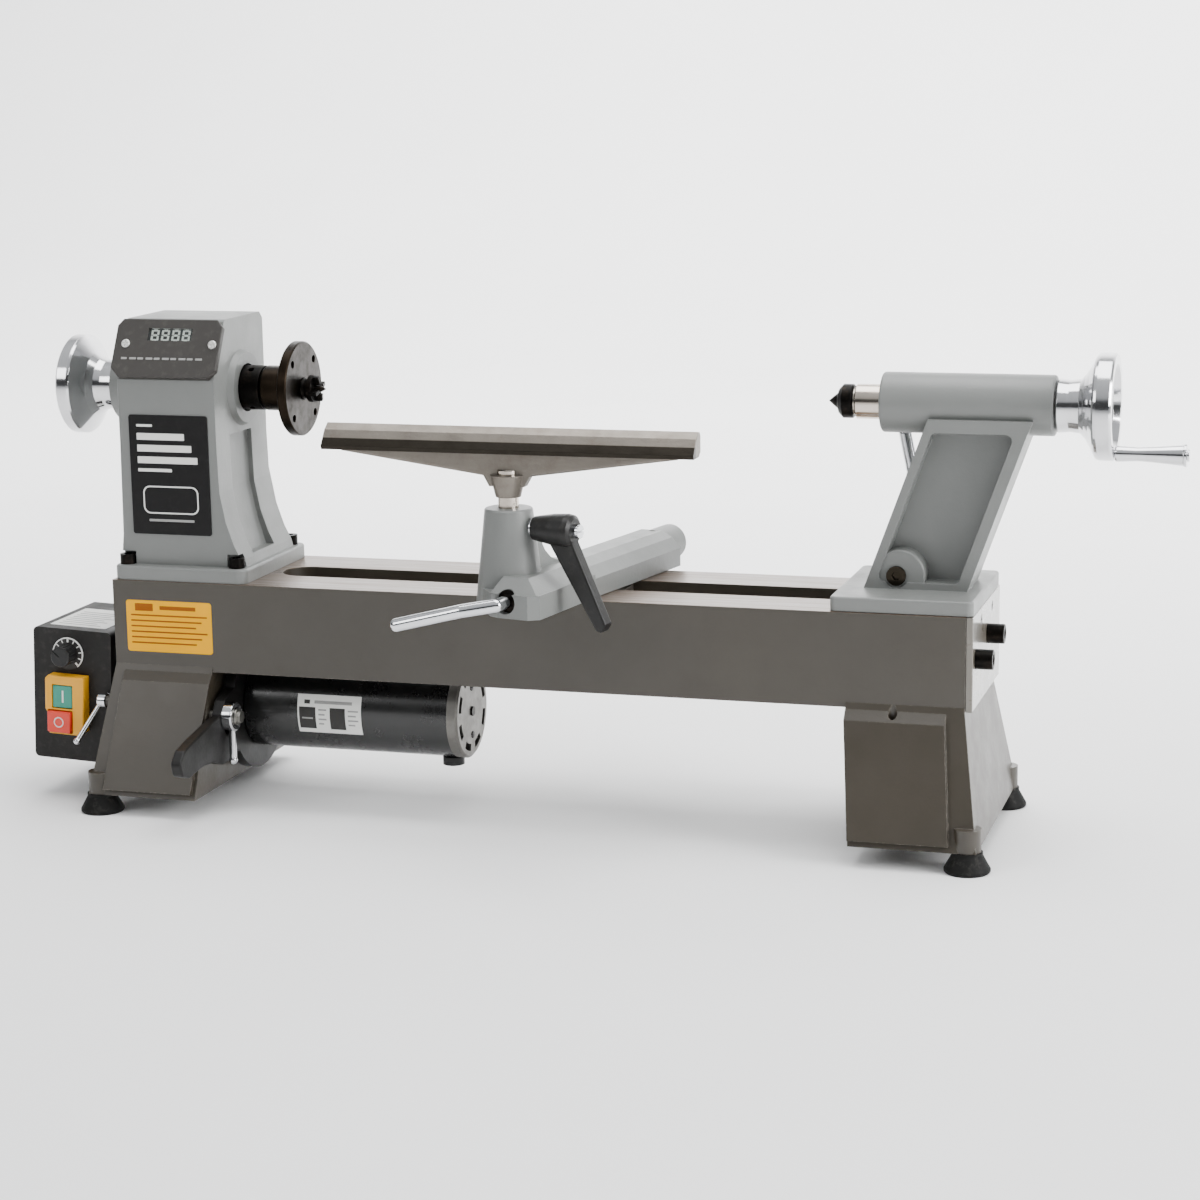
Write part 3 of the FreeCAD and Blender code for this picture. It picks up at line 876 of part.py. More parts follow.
keep("leadscrew", fuse([rod_x(-33.0, 83.0, 7.0), rod_x(44.0, 44.01 + 2.9, 11.0).cut(rod_x(40, 50, 6.9))]))
tail_wheel = turned([(51.7, 7.0), (51.7, 19.3), (53.0, 20.6), (61.0, 19.6), (69.0, 20.6), (73.0, 25.0), (77.0, 31.5),
                     (80.5, 38.5), (82.0, 40.0), (84.0, 40.7), (93.8, 40.7), (95.4, 39.4), (95.4, 32.0),
                     (90.0, 29.0), (87.0, 22.0), (86.0, 12.0), (86.0, 7.0)])
tail_wheel = tail_wheel.cut(rod_x(82.5, 100, 3.0, *TAIL_HANDLE))
handle_pin = fuse([rod_x(83.0, 150.0, 2.95, *TAIL_HANDLE), rod_x(149.2, 150.7, 4.6, *TAIL_HANDLE)])
keep("tail_handwheel", group([tail_wheel, handle_pin]))
sleeve_profile = [(96.0, 3.0 + FIT), (96.0, 5.6), (97.2, 6.1), (100.0, 5.9), (113.0, 5.3), (124.0, 5.9), (136.0, 7.0),
                  (146.4, 7.9), (147.0, 8.6), (148.8, 8.6), (148.8, 3.0 + FIT)]
keep("tail_handle_sleeve", turned(sleeve_profile, *TAIL_HANDLE))

keep("live_centre_shank", turned([(-112.0, 0.0), (-112.0, 5.0), (-104.0, 5.0), (-104.0, 11.0), (-102.6, 11.0),
                                  (-102.6, 8.85), (-50.0, 7.55), (-50.0, 0.0)]))
keep("live_centre_head", turned([(-104.4, 5.05), (-104.4, 12.4), (-105.2, 13.2), (-112.5, 13.2), (-116.0, 9.5),
                                 (-117.0, 6.2), (-119.5, 4.4), (-124.5, 0.0), (-112.6, 0.0), (-112.6, 5.05)]))
keep("quill_lock_knob", fuse([rod_y(QUILL_R + 0.4, 29.0, 4.0, -58.0, SPINDLE_Z),
                              rod_y(28.2, 38.0, 8.0, -58.0, SPINDLE_Z),
                              rod_between((-58.0, 33.0, SPINDLE_Z), (-24.0, 40.0, SPINDLE_Z + 2.0), 3.4),
                              Part.makeSphere(4.6, Vector(-24.0, 40.0, SPINDLE_Z + 2.0))]))

# ---------------------------------------------------------------------------
# move everything into the shared frame, check it and write it
# ---------------------------------------------------------------------------
whole = None
for name, shape in PIECES.items():
    if not shape.isValid():
        print("NOT VALID:", name)
    placed = shape.translated(FRAME_SHIFT)
    placed.exportStep("parts/" + name + ".step")
    bb = shape.BoundBox
    if whole is None:
        whole = FreeCAD.BoundBox(bb)
    else:
        whole.add(bb)
    print("%-28s solids %d  vol %9.1f  x %7.1f %7.1f  y %6.1f %6.1f  z %6.1f %6.1f" % (
        name, len(shape.Solids), shape.Volume, bb.XMin, bb.XMax, bb.YMin, bb.YMax, bb.ZMin, bb.ZMax))
print("pieces", len(PIECES))
print("whole box", whole)
print("needed shift", round(-(whole.XMin + whole.XMax) / 2, 2), round(-(whole.YMin + whole.YMax) / 2, 2),
      round(-whole.ZMin, 2))
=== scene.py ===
import math

import bmesh
import bpy
from mathutils import Matrix, Vector


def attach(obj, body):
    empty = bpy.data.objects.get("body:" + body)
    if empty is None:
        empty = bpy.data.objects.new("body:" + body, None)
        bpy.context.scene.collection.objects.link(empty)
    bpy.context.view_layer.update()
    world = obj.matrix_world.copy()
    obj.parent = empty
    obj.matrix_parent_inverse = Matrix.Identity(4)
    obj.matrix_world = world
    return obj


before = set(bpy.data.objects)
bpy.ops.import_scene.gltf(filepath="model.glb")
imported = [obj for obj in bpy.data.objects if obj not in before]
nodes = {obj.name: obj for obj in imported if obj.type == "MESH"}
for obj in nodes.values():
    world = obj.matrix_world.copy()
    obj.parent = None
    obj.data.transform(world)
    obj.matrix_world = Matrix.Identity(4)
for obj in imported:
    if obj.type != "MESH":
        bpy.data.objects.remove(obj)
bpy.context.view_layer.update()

MM = 0.001
SHIFT = Vector((320.95, 21.15, 0.0))      # from the machine's working axes to the shared frame, mm
SPINDLE_Z = 341.6


def at(x, y, z):
    """A point in the machine's working axes (mm) as metres in the shared frame."""
    return (Vector((x, y, z)) + SHIFT) * MM


def lin(r, g, b):
    """A colour given as display values 0-255, as linear light."""
    out = []
    for v in (r, g, b):
        v /= 255.0
        out.append(v / 12.92 if v <= 0.04045 else ((v + 0.055) / 1.055) ** 2.4)
    return (out[0], out[1], out[2], 1.0)


# ---------------------------------------------------------------------------
# materials
# ---------------------------------------------------------------------------
class Nodes:
    """Short names for the few shader nodes that every finish is built from."""

    def __init__(self, name):
        self.mat = bpy.data.materials.new(name)
        self.mat.use_nodes = True
        self.tree = self.mat.node_tree
        self.tree.nodes.clear()
        self.out = self.add("ShaderNodeOutputMaterial")
        self.bsdf = self.add("ShaderNodeBsdfPrincipled")
        self.link(self.bsdf.outputs[0], self.out.inputs["Surface"])
        self.coord = self.add("ShaderNodeTexCoord").outputs["Object"]

    def add(self, kind):
        return self.tree.nodes.new(kind)

    def link(self, a, b):
        self.tree.links.new(a, b)

    def noise(self, scale, detail=4.0, rough=0.55, stretch=None, distortion=0.0):
        n = self.add("ShaderNodeTexNoise")
        n.inputs["Scale"].default_value = scale
        n.inputs["Detail"].default_value = detail
        n.inputs["Roughness"].default_value = rough
        n.inputs["Distortion"].default_value = distortion
        source = self.coord
        if stretch:
            m = self.add("ShaderNodeMapping")
            m.inputs["Scale"].default_value = stretch
            self.link(source, m.inputs["Vector"])
            source = m.outputs["Vector"]
        self.link(source, n.inputs["Vector"])
        return n.outputs["Fac"]

    def ramp(self, value, lo, hi, to_lo=0.0, to_hi=1.0):
        r = self.add("ShaderNodeMapRange")
        r.inputs["From Min"].default_value = lo
        r.inputs["From Max"].default_value = hi
        r.inputs["To Min"].default_value = to_lo
        r.inputs["To Max"].default_value = to_hi
        self.link(value, r.inputs["Value"])
        return r.outputs["Result"]

    def math(self, op, a, b=None):
        m = self.add("ShaderNodeMath")
        m.operation = op
        m.use_clamp = op in ("MULTIPLY", "ADD", "SUBTRACT")
        for k, v in enumerate((a, b)):
            if v is None:
                continue
            if isinstance(v, (int, float)):
                m.inputs[k].default_value = v
            else:
                self.link(v, m.inputs[k])
        return m.outputs[0]

    def mix(self, fac, a, b):
        m = self.add("ShaderNodeMix")
        m.data_type = "RGBA"
        for socket, v in ((m.inputs["Factor"], fac), (m.inputs["A"], a), (m.inputs["B"], b)):
            if isinstance(v, (int, float, tuple)):
                socket.default_value = v
            else:
                self.link(v, socket)
        return m.outputs["Result"]

    def bump(self, height, distance, strength=1.0, normal=None):
        b = self.add("ShaderNodeBump")
        b.inputs["Distance"].default_value = distance
        b.inputs["Strength"].default_value = strength
        self.link(height, b.inputs["Height"])
        if normal is not None:
            self.link(normal, b.inputs["Normal"])
        return b.outputs["Normal"]

    def edges(self, radius):
        """Rounded normals along the edges, and a mask that is 1 on them."""
        bevel = self.add("ShaderNodeBevel")
        bevel.samples = 4
        bevel.inputs["Radius"].default_value = radius
        geometry = self.add("ShaderNodeNewGeometry")
        dot = self.add("ShaderNodeVectorMath")
        dot.operation = "DOT_PRODUCT"
        self.link(bevel.outputs["Normal"], dot.inputs[0])
        self.link(geometry.outputs["Normal"], dot.inputs[1])
        return bevel.outputs["Normal"], self.ramp(dot.outputs["Value"], 0.995, 0.93)

    def axis(self, which):
        s = self.add("ShaderNodeSeparateXYZ")
        self.link(self.coord, s.inputs[0])
        return s.outputs[which]


def scaled(colour, k):
    return (min(1.0, colour[0] * k), min(1.0, colour[1] * k), min(1.0, colour[2] * k), 1.0)


def paint(name, colour, rough=0.45, worn=None, peel=0.00012, peel_scale=420.0, cast=0.0, tone=0.10, coat=0.0,
          edge_radius=0.0009, wear=0.35, specular=0.5):
    """Enamel or cast paint: uneven tone, orange peel, a sand-cast waviness and rubbed edges."""
    n = Nodes(name)
    broad = n.noise(7.0, 5.0, 0.6)
    patchy = n.noise(55.0, 5.0, 0.65)
    base = n.mix(n.ramp(broad, 0.3, 0.72), scaled(colour, 1.0 - tone), scaled(colour, 1.0 + tone))
    base = n.mix(n.ramp(patchy, 0.56, 0.80, 0.0, 0.35), base, scaled(colour, 1.0 - 1.6 * tone))
    normal, mask = n.edges(edge_radius)
    if worn:
        chips = n.math("MULTIPLY", mask, n.ramp(n.noise(230.0, 5.0, 0.7), 0.48, 0.66, 0.0, wear))
        base = n.mix(chips, base, worn)
        specks = n.ramp(n.noise(820.0, 3.0, 0.5), 0.735, 0.775, 0.0, 0.35)
        base = n.mix(specks, base, scaled(colour, 0.55))
    n.link(base, n.bsdf.inputs["Base Color"])
    gloss = n.ramp(n.noise(34.0, 6.0, 0.7), 0.25, 0.75, rough - 0.10, rough + 0.12)
    n.link(gloss, n.bsdf.inputs["Roughness"])
    if cast:
        normal = n.bump(n.noise(120.0, 5.0, 0.65), cast, 0.8, normal)
    n.link(n.bump(n.noise(peel_scale, 3.0, 0.5), peel, 0.7, normal), n.bsdf.inputs["Normal"])
    n.bsdf.inputs["Coat Weight"].default_value = coat
    n.bsdf.inputs["Coat Roughness"].default_value = 0.12
    n.bsdf.inputs["Specular IOR Level"].default_value = specular
    return n.mat


def metal(name, colour, rough=0.3, brush=(1.0, 1.0, 1.0), brush_scale=300.0, brush_depth=0.00004, spread=0.10,
          tone=0.12, stain=None, stain_amount=0.4, metallic=1.0, edge_radius=0.0005, pits=0.0,
          shade_and_dark_screw_band=None):
    """Worked metal: fine tool lines along one direction, smudges in the polish, darker staining and an
    optional dark band (painted shade on the tool rest's rail, the real dark screw end on the cam lever).
    """
    n = Nodes(name)
    lines = n.noise(brush_scale, 4.0, 0.6, brush)
    cloud = n.noise(26.0, 6.0, 0.65, None, 0.4)
    base = n.mix(n.ramp(cloud, 0.3, 0.7), scaled(colour, 1.0 - tone), scaled(colour, 1.0 + 0.5 * tone))
    base = n.mix(n.ramp(lines, 0.35, 0.7, 0.0, 0.35), base, scaled(colour, 1.0 - tone))
    if stain:
        base = n.mix(n.ramp(n.noise(48.0, 7.0, 0.72), 0.5, 0.74, 0.0, stain_amount), base, stain)
    # optional dark band by height and depth: painted shade on the tool rest's rail, where its lower front
    # face is shaded; on the tail cam lever it is the real dark screw at the front end
    if shade_and_dark_screw_band:
        low, high, near = shade_and_dark_screw_band
        height, depth = n.axis("Z"), n.axis("Y")
        shade_and_dark_screw_mask = n.math("MULTIPLY", n.ramp(height, low - 0.0004, low), n.ramp(height, high + 0.0006, high))
        shade_and_dark_screw_mask = n.math("MULTIPLY", shade_and_dark_screw_mask, n.ramp(depth, near + 0.0006, near))
        base = n.mix(shade_and_dark_screw_mask, base, lin(40, 36, 30))
    n.link(base, n.bsdf.inputs["Base Color"])
    n.bsdf.inputs["Metallic"].default_value = metallic
    wander = n.ramp(n.noise(60.0, 6.0, 0.7), 0.28, 0.72, max(0.03, rough - spread), rough + spread)
    n.link(n.math("ADD", wander, n.ramp(lines, 0.3, 0.7, 0.0, spread * 0.6)), n.bsdf.inputs["Roughness"])
    normal, mask = n.edges(edge_radius)
    normal = n.bump(lines, brush_depth, 0.6, normal)
    if pits:
        normal = n.bump(n.ramp(n.noise(340.0, 4.0, 0.6), 0.35, 0.62), pits, 0.6, normal)
    n.link(normal, n.bsdf.inputs["Normal"])
    return n.mat


def turned(name, colour, centre, rough=0.14, ring_pitch=0.0009, depth=0.000012, metallic=1.0, tone=0.08,
           cloudy=0.5, dark_core=None):
    """Metal turned or polished round an X-parallel axis: rings about the axis at the given centre (y, z)."""
    n = Nodes(name)
    sep = n.add("ShaderNodeSeparateXYZ")
    n.link(n.coord, sep.inputs[0])
    dy = n.math("SUBTRACT", sep.outputs["Y"], centre[0])
    dz = n.math("SUBTRACT", sep.outputs["Z"], centre[1])
    for m in (dy, dz):
        m.node.use_clamp = False
    square = []
    for d in (dy, dz):
        p = n.math("MULTIPLY", d, d)
        p.node.use_clamp = False
        square.append(p)
    total = n.math("ADD", square[0], square[1])
    total.node.use_clamp = False
    radius = n.math("SQRT", total)
    place = n.add("ShaderNodeCombineXYZ")
    n.link(radius, place.inputs["X"])
    n.link(sep.outputs["X"], place.inputs["Y"])
    rings = n.add("ShaderNodeTexNoise")
    rings.inputs["Scale"].default_value = 1.0 / ring_pitch
    rings.inputs["Detail"].default_value = 3.0
    n.link(place.outputs[0], rings.inputs["Vector"])
    cloud = n.noise(38.0, 6.0, 0.65, None, 0.3)
    base = n.mix(n.ramp(cloud, 0.3, 0.7), scaled(colour, 1.0 - tone), scaled(colour, 1.0 + tone))
    base = n.mix(n.ramp(rings.outputs["Fac"], 0.45, 0.75, 0.0, 0.25), base, scaled(colour, 1.0 - 2.0 * tone))
    if dark_core:
        base = n.mix(n.ramp(radius, dark_core + 0.0003, dark_core), base, lin(34, 33, 32))
    n.link(base, n.bsdf.inputs["Base Color"])
    n.bsdf.inputs["Metallic"].default_value = metallic
    n.link(n.ramp(n.noise(75.0, 6.0, 0.7), 0.25, 0.75, rough * (1 - cloudy), rough * (1 + cloudy)),
           n.bsdf.inputs["Roughness"])
    normal, mask = n.edges(0.0007)
    n.link(n.bump(rings.outputs["Fac"], depth, 0.7, normal), n.bsdf.inputs["Normal"])
    return n.mat


def plastic(name, colour, rough=0.4, grain=0.00003, grain_scale=1400.0, tone=0.06, sheen=0.5, dust=0.06,
            radius=0.0006):
    """Moulded plastic: spark-eroded grain, faint sink marks, handled patches, a little pale dust and a
    painted highlight along the edges.
    """
    n = Nodes(name)
    broad = n.noise(16.0, 4.0, 0.6)
    base = n.mix(n.ramp(broad, 0.3, 0.7), scaled(colour, 1.0 - tone), scaled(colour, 1.0 + tone))
    base = n.mix(n.ramp(n.noise(150.0, 6.0, 0.75), 0.52, 0.8, 0.0, dust), base, (0.5, 0.47, 0.42, 1.0))
    normal, mask = n.edges(radius)
    # painted highlight: every edge of the moulding is lightened towards 1.6 times its colour, as if catching
    # the light
    base = n.mix(n.math("MULTIPLY", mask, 0.25), base, scaled(colour, 1.6))
    n.link(base, n.bsdf.inputs["Base Color"])
    gloss = n.ramp(n.noise(45.0, 6.0, 0.7), 0.25, 0.75, rough - 0.09, rough + 0.12)
    n.link(gloss, n.bsdf.inputs["Roughness"])
    normal = n.bump(n.noise(22.0, 2.0, 0.4), 0.00012, 0.5, normal)
    n.link(n.bump(n.noise(grain_scale, 2.0, 0.5), grain, 0.8, normal), n.bsdf.inputs["Normal"])
    n.bsdf.inputs["Specular IOR Level"].default_value = sheen
    return n.mat


def bed_finish():
    """Olive-grey enamel with ground ways on top."""
    enamel, iron = lin(50, 44, 34), lin(104, 85, 68)
    n = Nodes("bed_enamel_and_ways")
    broad = n.noise(6.0, 5.0, 0.6)
    patchy = n.noise(48.0, 6.0, 0.7)
    base = n.mix(n.ramp(broad, 0.3, 0.72), scaled(enamel, 0.90), scaled(enamel, 1.10))
    base = n.mix(n.ramp(patchy, 0.55, 0.8, 0.0, 0.3), base, scaled(enamel, 0.82))
    normal, mask = n.edges(0.0011)
    chips = n.math("MULTIPLY", mask, n.ramp(n.noise(210.0, 5.0, 0.7), 0.47, 0.66, 0.0, 0.5))
    base = n.mix(chips, base, lin(150, 142, 130))
    lines = n.noise(240.0, 4.0, 0.6, (0.04, 1.0, 1.0))
    ground = n.mix(n.ramp(lines, 0.3, 0.7), scaled(iron, 0.78), scaled(iron, 1.12))
    ground = n.mix(n.ramp(n.noise(22.0, 7.0, 0.7), 0.45, 0.75, 0.0, 0.55), ground, lin(88, 70, 54))
    height = n.axis("Z")
    top = n.ramp(height, 0.18895, 0.18912)
    geometry = n.add("ShaderNodeNewGeometry")
    sep = n.add("ShaderNodeSeparateXYZ")
    n.link(geometry.outputs["Normal"], sep.inputs[0])
    n.link(n.mix(top, base, ground), n.bsdf.inputs["Base Color"])
    n.link(n.math("MULTIPLY", top, 0.75), n.bsdf.inputs["Metallic"])
    painted = n.ramp(n.noise(30.0, 6.0, 0.7), 0.25, 0.75, 0.36, 0.58)
    bare = n.ramp(lines, 0.3, 0.7, 0.26, 0.46)
    mixer = n.add("ShaderNodeMix")
    n.link(top, mixer.inputs["Factor"])
    n.link(painted, mixer.inputs["A"])
    n.link(bare, mixer.inputs["B"])
    n.link(mixer.outputs["Result"], n.bsdf.inputs["Roughness"])
    n.bsdf.inputs["Coat Weight"].default_value = 0.35
    n.bsdf.inputs["Coat Roughness"].default_value = 0.22
    cast = n.bump(n.noise(110.0, 5.0, 0.65), 0.00025, 0.7, normal)
    n.link(n.bump(n.noise(430.0, 3.0, 0.5), 0.00010, 0.6, cast), n.bsdf.inputs["Normal"])
    return n.mat


def window_finish():
    n = Nodes("display_window_clear")
    n.link(n.mix(n.noise(90.0, 4.0), lin(196, 202, 200), lin(226, 230, 228)), n.bsdf.inputs["Base Color"])
    n.link(n.ramp(n.noise(140.0, 6.0, 0.7), 0.3, 0.7, 0.03, 0.12), n.bsdf.inputs["Roughness"])
    n.bsdf.inputs["Transmission Weight"].default_value = 1.0
    n.bsdf.inputs["IOR"].default_value = 1.46
    n.link(n.bump(n.noise(300.0, 3.0), 0.000006, 0.4), n.bsdf.inputs["Normal"])
    return n.mat


ZS = SPINDLE_Z * MM
SPINDLE_AXIS = (SHIFT.y * MM, ZS)
MOTOR_AXIS = (SHIFT.y * MM, 0.078)

def panel_screw_finish():
    """Bright pan heads on the display, blackened ones in the bed's end plate."""
    n = Nodes("panel_screw_steel")
    cloud = n.noise(400.0, 5.0, 0.65)
    bright = n.mix(n.ramp(cloud, 0.3, 0.7), lin(206, 205, 200), lin(236, 236, 233))
    n.link(n.mix(n.ramp(n.axis("X"), 0.0, 0.01), bright, lin(30, 29, 27)), n.bsdf.inputs["Base Color"])
    n.bsdf.inputs["Metallic"].default_value = 0.8
    n.link(n.ramp(cloud, 0.25, 0.75, 0.26, 0.46), n.bsdf.inputs["Roughness"])
    normal, mask = n.edges(0.0003)
    n.link(n.bump(n.noise(900.0, 3.0), 0.00002, 0.6, normal), n.bsdf.inputs["Normal"])
    return n.mat


def lit_finish():
    """Read-out segments: whitish, faintly lit, a little uneven."""
    n = Nodes("display_digit_segments")
    glow = n.mix(n.ramp(n.noise(700.0, 3.0, 0.5), 0.3, 0.7), lin(206, 210, 204), lin(238, 240, 236))
    n.link(glow, n.bsdf.inputs["Base Color"])
    n.link(glow, n.bsdf.inputs["Emission Color"])
    n.bsdf.inputs["Emission Strength"].default_value = 0.9
    n.link(n.ramp(n.noise(400.0, 3.0), 0.3, 0.7, 0.35, 0.5), n.bsdf.inputs["Roughness"])
    n.link(n.bump(n.noise(900.0, 2.0), 0.00001, 0.5), n.bsdf.inputs["Normal"])
    return n.mat


M = {
    "bed": bed_finish(),
    "head": paint("light_grey_enamel", lin(116, 118, 116), 0.38, lin(180, 180, 178), cast=0.00022,
                  tone=0.05, wear=0.30),
    # painted light: the end plate has the bed's olive-grey enamel, but its colour is set much lighter to
    # stand for the strong light on the machine's right-hand end
    "end_plate": paint("end_plate_enamel_painted_lighter", lin(104, 99, 90), 0.30, lin(176, 170, 160), cast=0.00012,
                       tone=0.06, coat=0.9),
    "black_gloss": paint("black_gloss_enamel", lin(12, 12, 12), 0.28, lin(80, 80, 80), peel=0.00006,
                         peel_scale=300.0, tone=0.08, coat=0.25, wear=0.05),
    "black_satin": paint("black_satin_enamel", lin(14, 13, 12), 0.46, lin(70, 68, 64), tone=0.12,
                         wear=0.2, specular=0.3),
    "bezel": plastic("display_bezel_moulding", lin(46, 43, 40), 0.46, 0.00004, 1100.0),
    "plate": plastic("name_plate_film", lin(9, 8, 9), 0.42, 0.00001, 900.0, dust=0.01, sheen=0.25),
    "box": plastic("control_box_moulding", lin(16, 14, 12), 0.55, 0.00006, 900.0, dust=0.04, sheen=0.35),
    "knob": plastic("black_knob_moulding", lin(14, 14, 14), 0.40, 0.00003, 1200.0, dust=0.03, sheen=0.4),
    "lever": plastic("black_lever_coating", lin(14, 13, 12), 0.42, 0.00006, 700.0, dust=0.04, sheen=0.4),
    "rubber": plastic("black_rubber", lin(12, 12, 11), 0.66, 0.00012, 600.0, dust=0.06, sheen=0.2),
    "yellow": plastic("yellow_switch_moulding", lin(226, 160, 14), 0.40, 0.00003, 1300.0, dust=0.05),
    "green": plastic("green_button_moulding", lin(38, 138, 118), 0.34, 0.00002, 1300.0, dust=0.04),
    "red": plastic("red_button_moulding", lin(214, 52, 34), 0.34, 0.00002, 1300.0, dust=0.04),
    "board": plastic("circuit_board_resin", lin(24, 84, 52), 0.4, 0.00004, 800.0),
    "ferrite": plastic("sintered_ferrite", lin(52, 52, 54), 0.6, 0.00008, 900.0),
    "white": plastic("white_print", lin(232, 232, 228), 0.45, 0.00001, 900.0, dust=0.05),
    "ink": plastic("dark_print", lin(34, 32, 30), 0.5, 0.00001, 900.0, dust=0.03),
    "grey_ink": plastic("grey_print", lin(150, 150, 148), 0.5, 0.00001, 900.0, dust=0.04),
    "label_yellow": plastic("yellow_label_film", lin(246, 176, 0), 0.6, 0.00002, 500.0, dust=0.0, sheen=0.05),
    "panel_screw": panel_screw_finish(),
    "cam_lever": metal("cam_lever_chrome", lin(216, 217, 220), 0.10, (1, 1, 0.2), 200.0, 0.000006, 0.04, 0.05,
                       shade_and_dark_screw_band=(0.15, 0.30, (SHIFT.y - 12.0) * MM)),
    "label_ink": plastic("label_print", lin(150, 84, 18), 0.5, 0.00001, 900.0, dust=0.0, sheen=0.1),
    "digit": lit_finish(),
    "display_back": plastic("display_module_face", lin(58, 62, 60), 0.5, 0.00002, 900.0),
    "wheel_left": turned("polished_handwheel", lin(214, 214, 216), SPINDLE_AXIS, 0.11),
    "chrome": metal("polished_chrome", lin(218, 219, 222), 0.09, (1, 1, 0.2), 200.0, 0.000006, 0.04, 0.05),
    "lock_ring": turned("lock_ring_chrome", lin(206, 206, 208), ((SHIFT.y - 70.0) * MM, 0.080), 0.12,
                        dark_core=0.0078),
    "end_cap": metal("satin_end_cap", lin(116, 114, 110), 0.40, (1, 1, 1), 300.0, 0.00006, 0.12, 0.12,
                     lin(70, 68, 64), 0.35, 0.9),
    "handle": turned("polished_handle", lin(214, 214, 216),
                     ((SHIFT.y - 7.0) * MM, (SPINDLE_Z - 34.3) * MM), 0.12),
    "faceplate": turned("turned_faceplate_steel", lin(34, 28, 22), SPINDLE_AXIS, 0.38, 0.0006, 0.00003,
                        1.0, 0.16),
    "spindle": turned("turned_spindle_steel", lin(160, 153, 144), SPINDLE_AXIS, 0.26, 0.0005, 0.00002),
    "quill": turned("ground_quill_steel", lin(204, 194, 182), SPINDLE_AXIS, 0.20, 0.0005, 0.00001),
    "pulley": turned("turned_pulley_alloy", lin(170, 171, 173), SPINDLE_AXIS, 0.3, 0.0006, 0.00003),
    "motor_pulley": turned("turned_motor_pulley_alloy", lin(170, 171, 173), MOTOR_AXIS, 0.3, 0.0006, 0.00003),
    "motor_shaft": turned("motor_shaft_steel", lin(150, 148, 146), MOTOR_AXIS, 0.26),
    "black_steel": metal("blackened_steel", lin(24, 23, 22), 0.42, (1, 0.3, 1), 500.0, 0.00003, 0.10, 0.2,
                         lin(84, 72, 62), 0.3),
    # the rest's last argument paints shade: a dark band along the lower front face of the rail
    "rest": metal("tool_rest_iron", lin(124, 118, 110), 0.38, (0.06, 1, 1), 260.0, 0.00005, 0.12, 0.14,
                  lin(92, 80, 68), 0.45, 0.85, 0.0009, 0.00010, (0.3090, 0.3180, (SHIFT.y - 107.5) * MM)),
    "clamp_iron": metal("clamp_plate_iron", lin(120, 114, 106), 0.5, (1, 0.2, 1), 240.0, 0.00006, 0.12, 0.16,
                        lin(88, 70, 56), 0.5, 0.9, 0.0008, 0.00010),
    "bolt": metal("zinc_bolt_steel", lin(156, 154, 148), 0.34, (1, 1, 0.3), 400.0, 0.00003, 0.1, 0.1,
                  lin(112, 98, 80), 0.3),
    "brass": metal("brass_parts", lin(184, 146, 86), 0.3, (1, 1, 1), 300.0, 0.00003, 0.1, 0.14),
    "window": window_finish(),
}

DRESS = {
    "bed_casting": "bed", "bed_end_plate": "end_plate", "bed_extension_bolts": "black_steel",
    "panel_screws": "panel_screw", "frame_bolts": "black_steel", "rubber_feet": "rubber",
    "headstock_casting": "head", "display_bezel": "bezel", "display_window": "window",
    "name_plate": "plate", "control_electrics": "board", "pivot_pins": "bolt",
    "bearing_outer_rings": "spindle", "control_box_case": "box", "control_box_back": "box",
    "switch_housing": "yellow", "cable_gland": "knob", "drive_belt": "rubber", "spindle": "spindle",
    "spindle_collars": "black_steel", "spindle_pulley": "pulley", "headstock_handwheel": "wheel_left",
    "faceplate": "faceplate", "spur_centre": "black_steel", "motor_plate": "black_satin",
    "motor_can": "black_gloss", "motor_end_cap": "end_cap", "motor_magnets": "ferrite",
    "motor_brushes": "knob", "motor_screws": "black_steel", "motor_shaft": "motor_shaft",
    "motor_armature": "brass", "motor_pulley": "motor_pulley", "motor_lock_lever": "lock_ring",
    "motor_lock_stud": "bolt", "side_latch_lever": "chrome", "start_button": "green", "stop_button": "red",
    "speed_knob": "knob", "belt_door": "black_satin", "banjo_clamp_plate": "clamp_iron",
    "banjo_eye_bolt": "bolt", "banjo_casting": "head", "banjo_cam_shaft": "black_steel",
    "banjo_lever": "chrome", "tool_rest_post": "quill", "tool_rest": "rest", "rest_lock_lever": "lever",
    "rest_lock_stud": "chrome", "tailstock_casting": "head", "tail_eye_bolt": "bolt",
    "tail_clamp_plate": "clamp_iron", "tail_clamp_lever": "cam_lever", "tail_handwheel": "wheel_left",
    "leadscrew": "spindle", "quill": "quill", "live_centre_shank": "spindle",
    "live_centre_head": "black_steel", "tail_handle_sleeve": "handle", "quill_lock_knob": "lever",
}
for name, obj in nodes.items():
    obj.data.materials.clear()
    obj.data.materials.append(M[DRESS[name]])


# ---------------------------------------------------------------------------
# building helpers for the small pieces
# ---------------------------------------------------------------------------
def finish_mesh(name, bm, material, body, place=None, bevel=0.0, smooth=False):
    bmesh.ops.recalc_face_normals(bm, faces=bm.faces)
    mesh = bpy.data.meshes.new(name)
    bm.to_mesh(mesh)
    bm.free()
    if place is not None:
        mesh.transform(place)
    obj = bpy.data.objects.new(name, mesh)
    bpy.context.scene.collection.objects.link(obj)
    mesh.materials.append(M[material])
    if bevel:
        mod = obj.modifiers.new("edge", "BEVEL")
        mod.width = bevel
        mod.segments = 2
        mod.limit_method = "ANGLE"
    if smooth:
        for p in mesh.polygons:
            p.use_smooth = True
    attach(obj, body)
    return obj


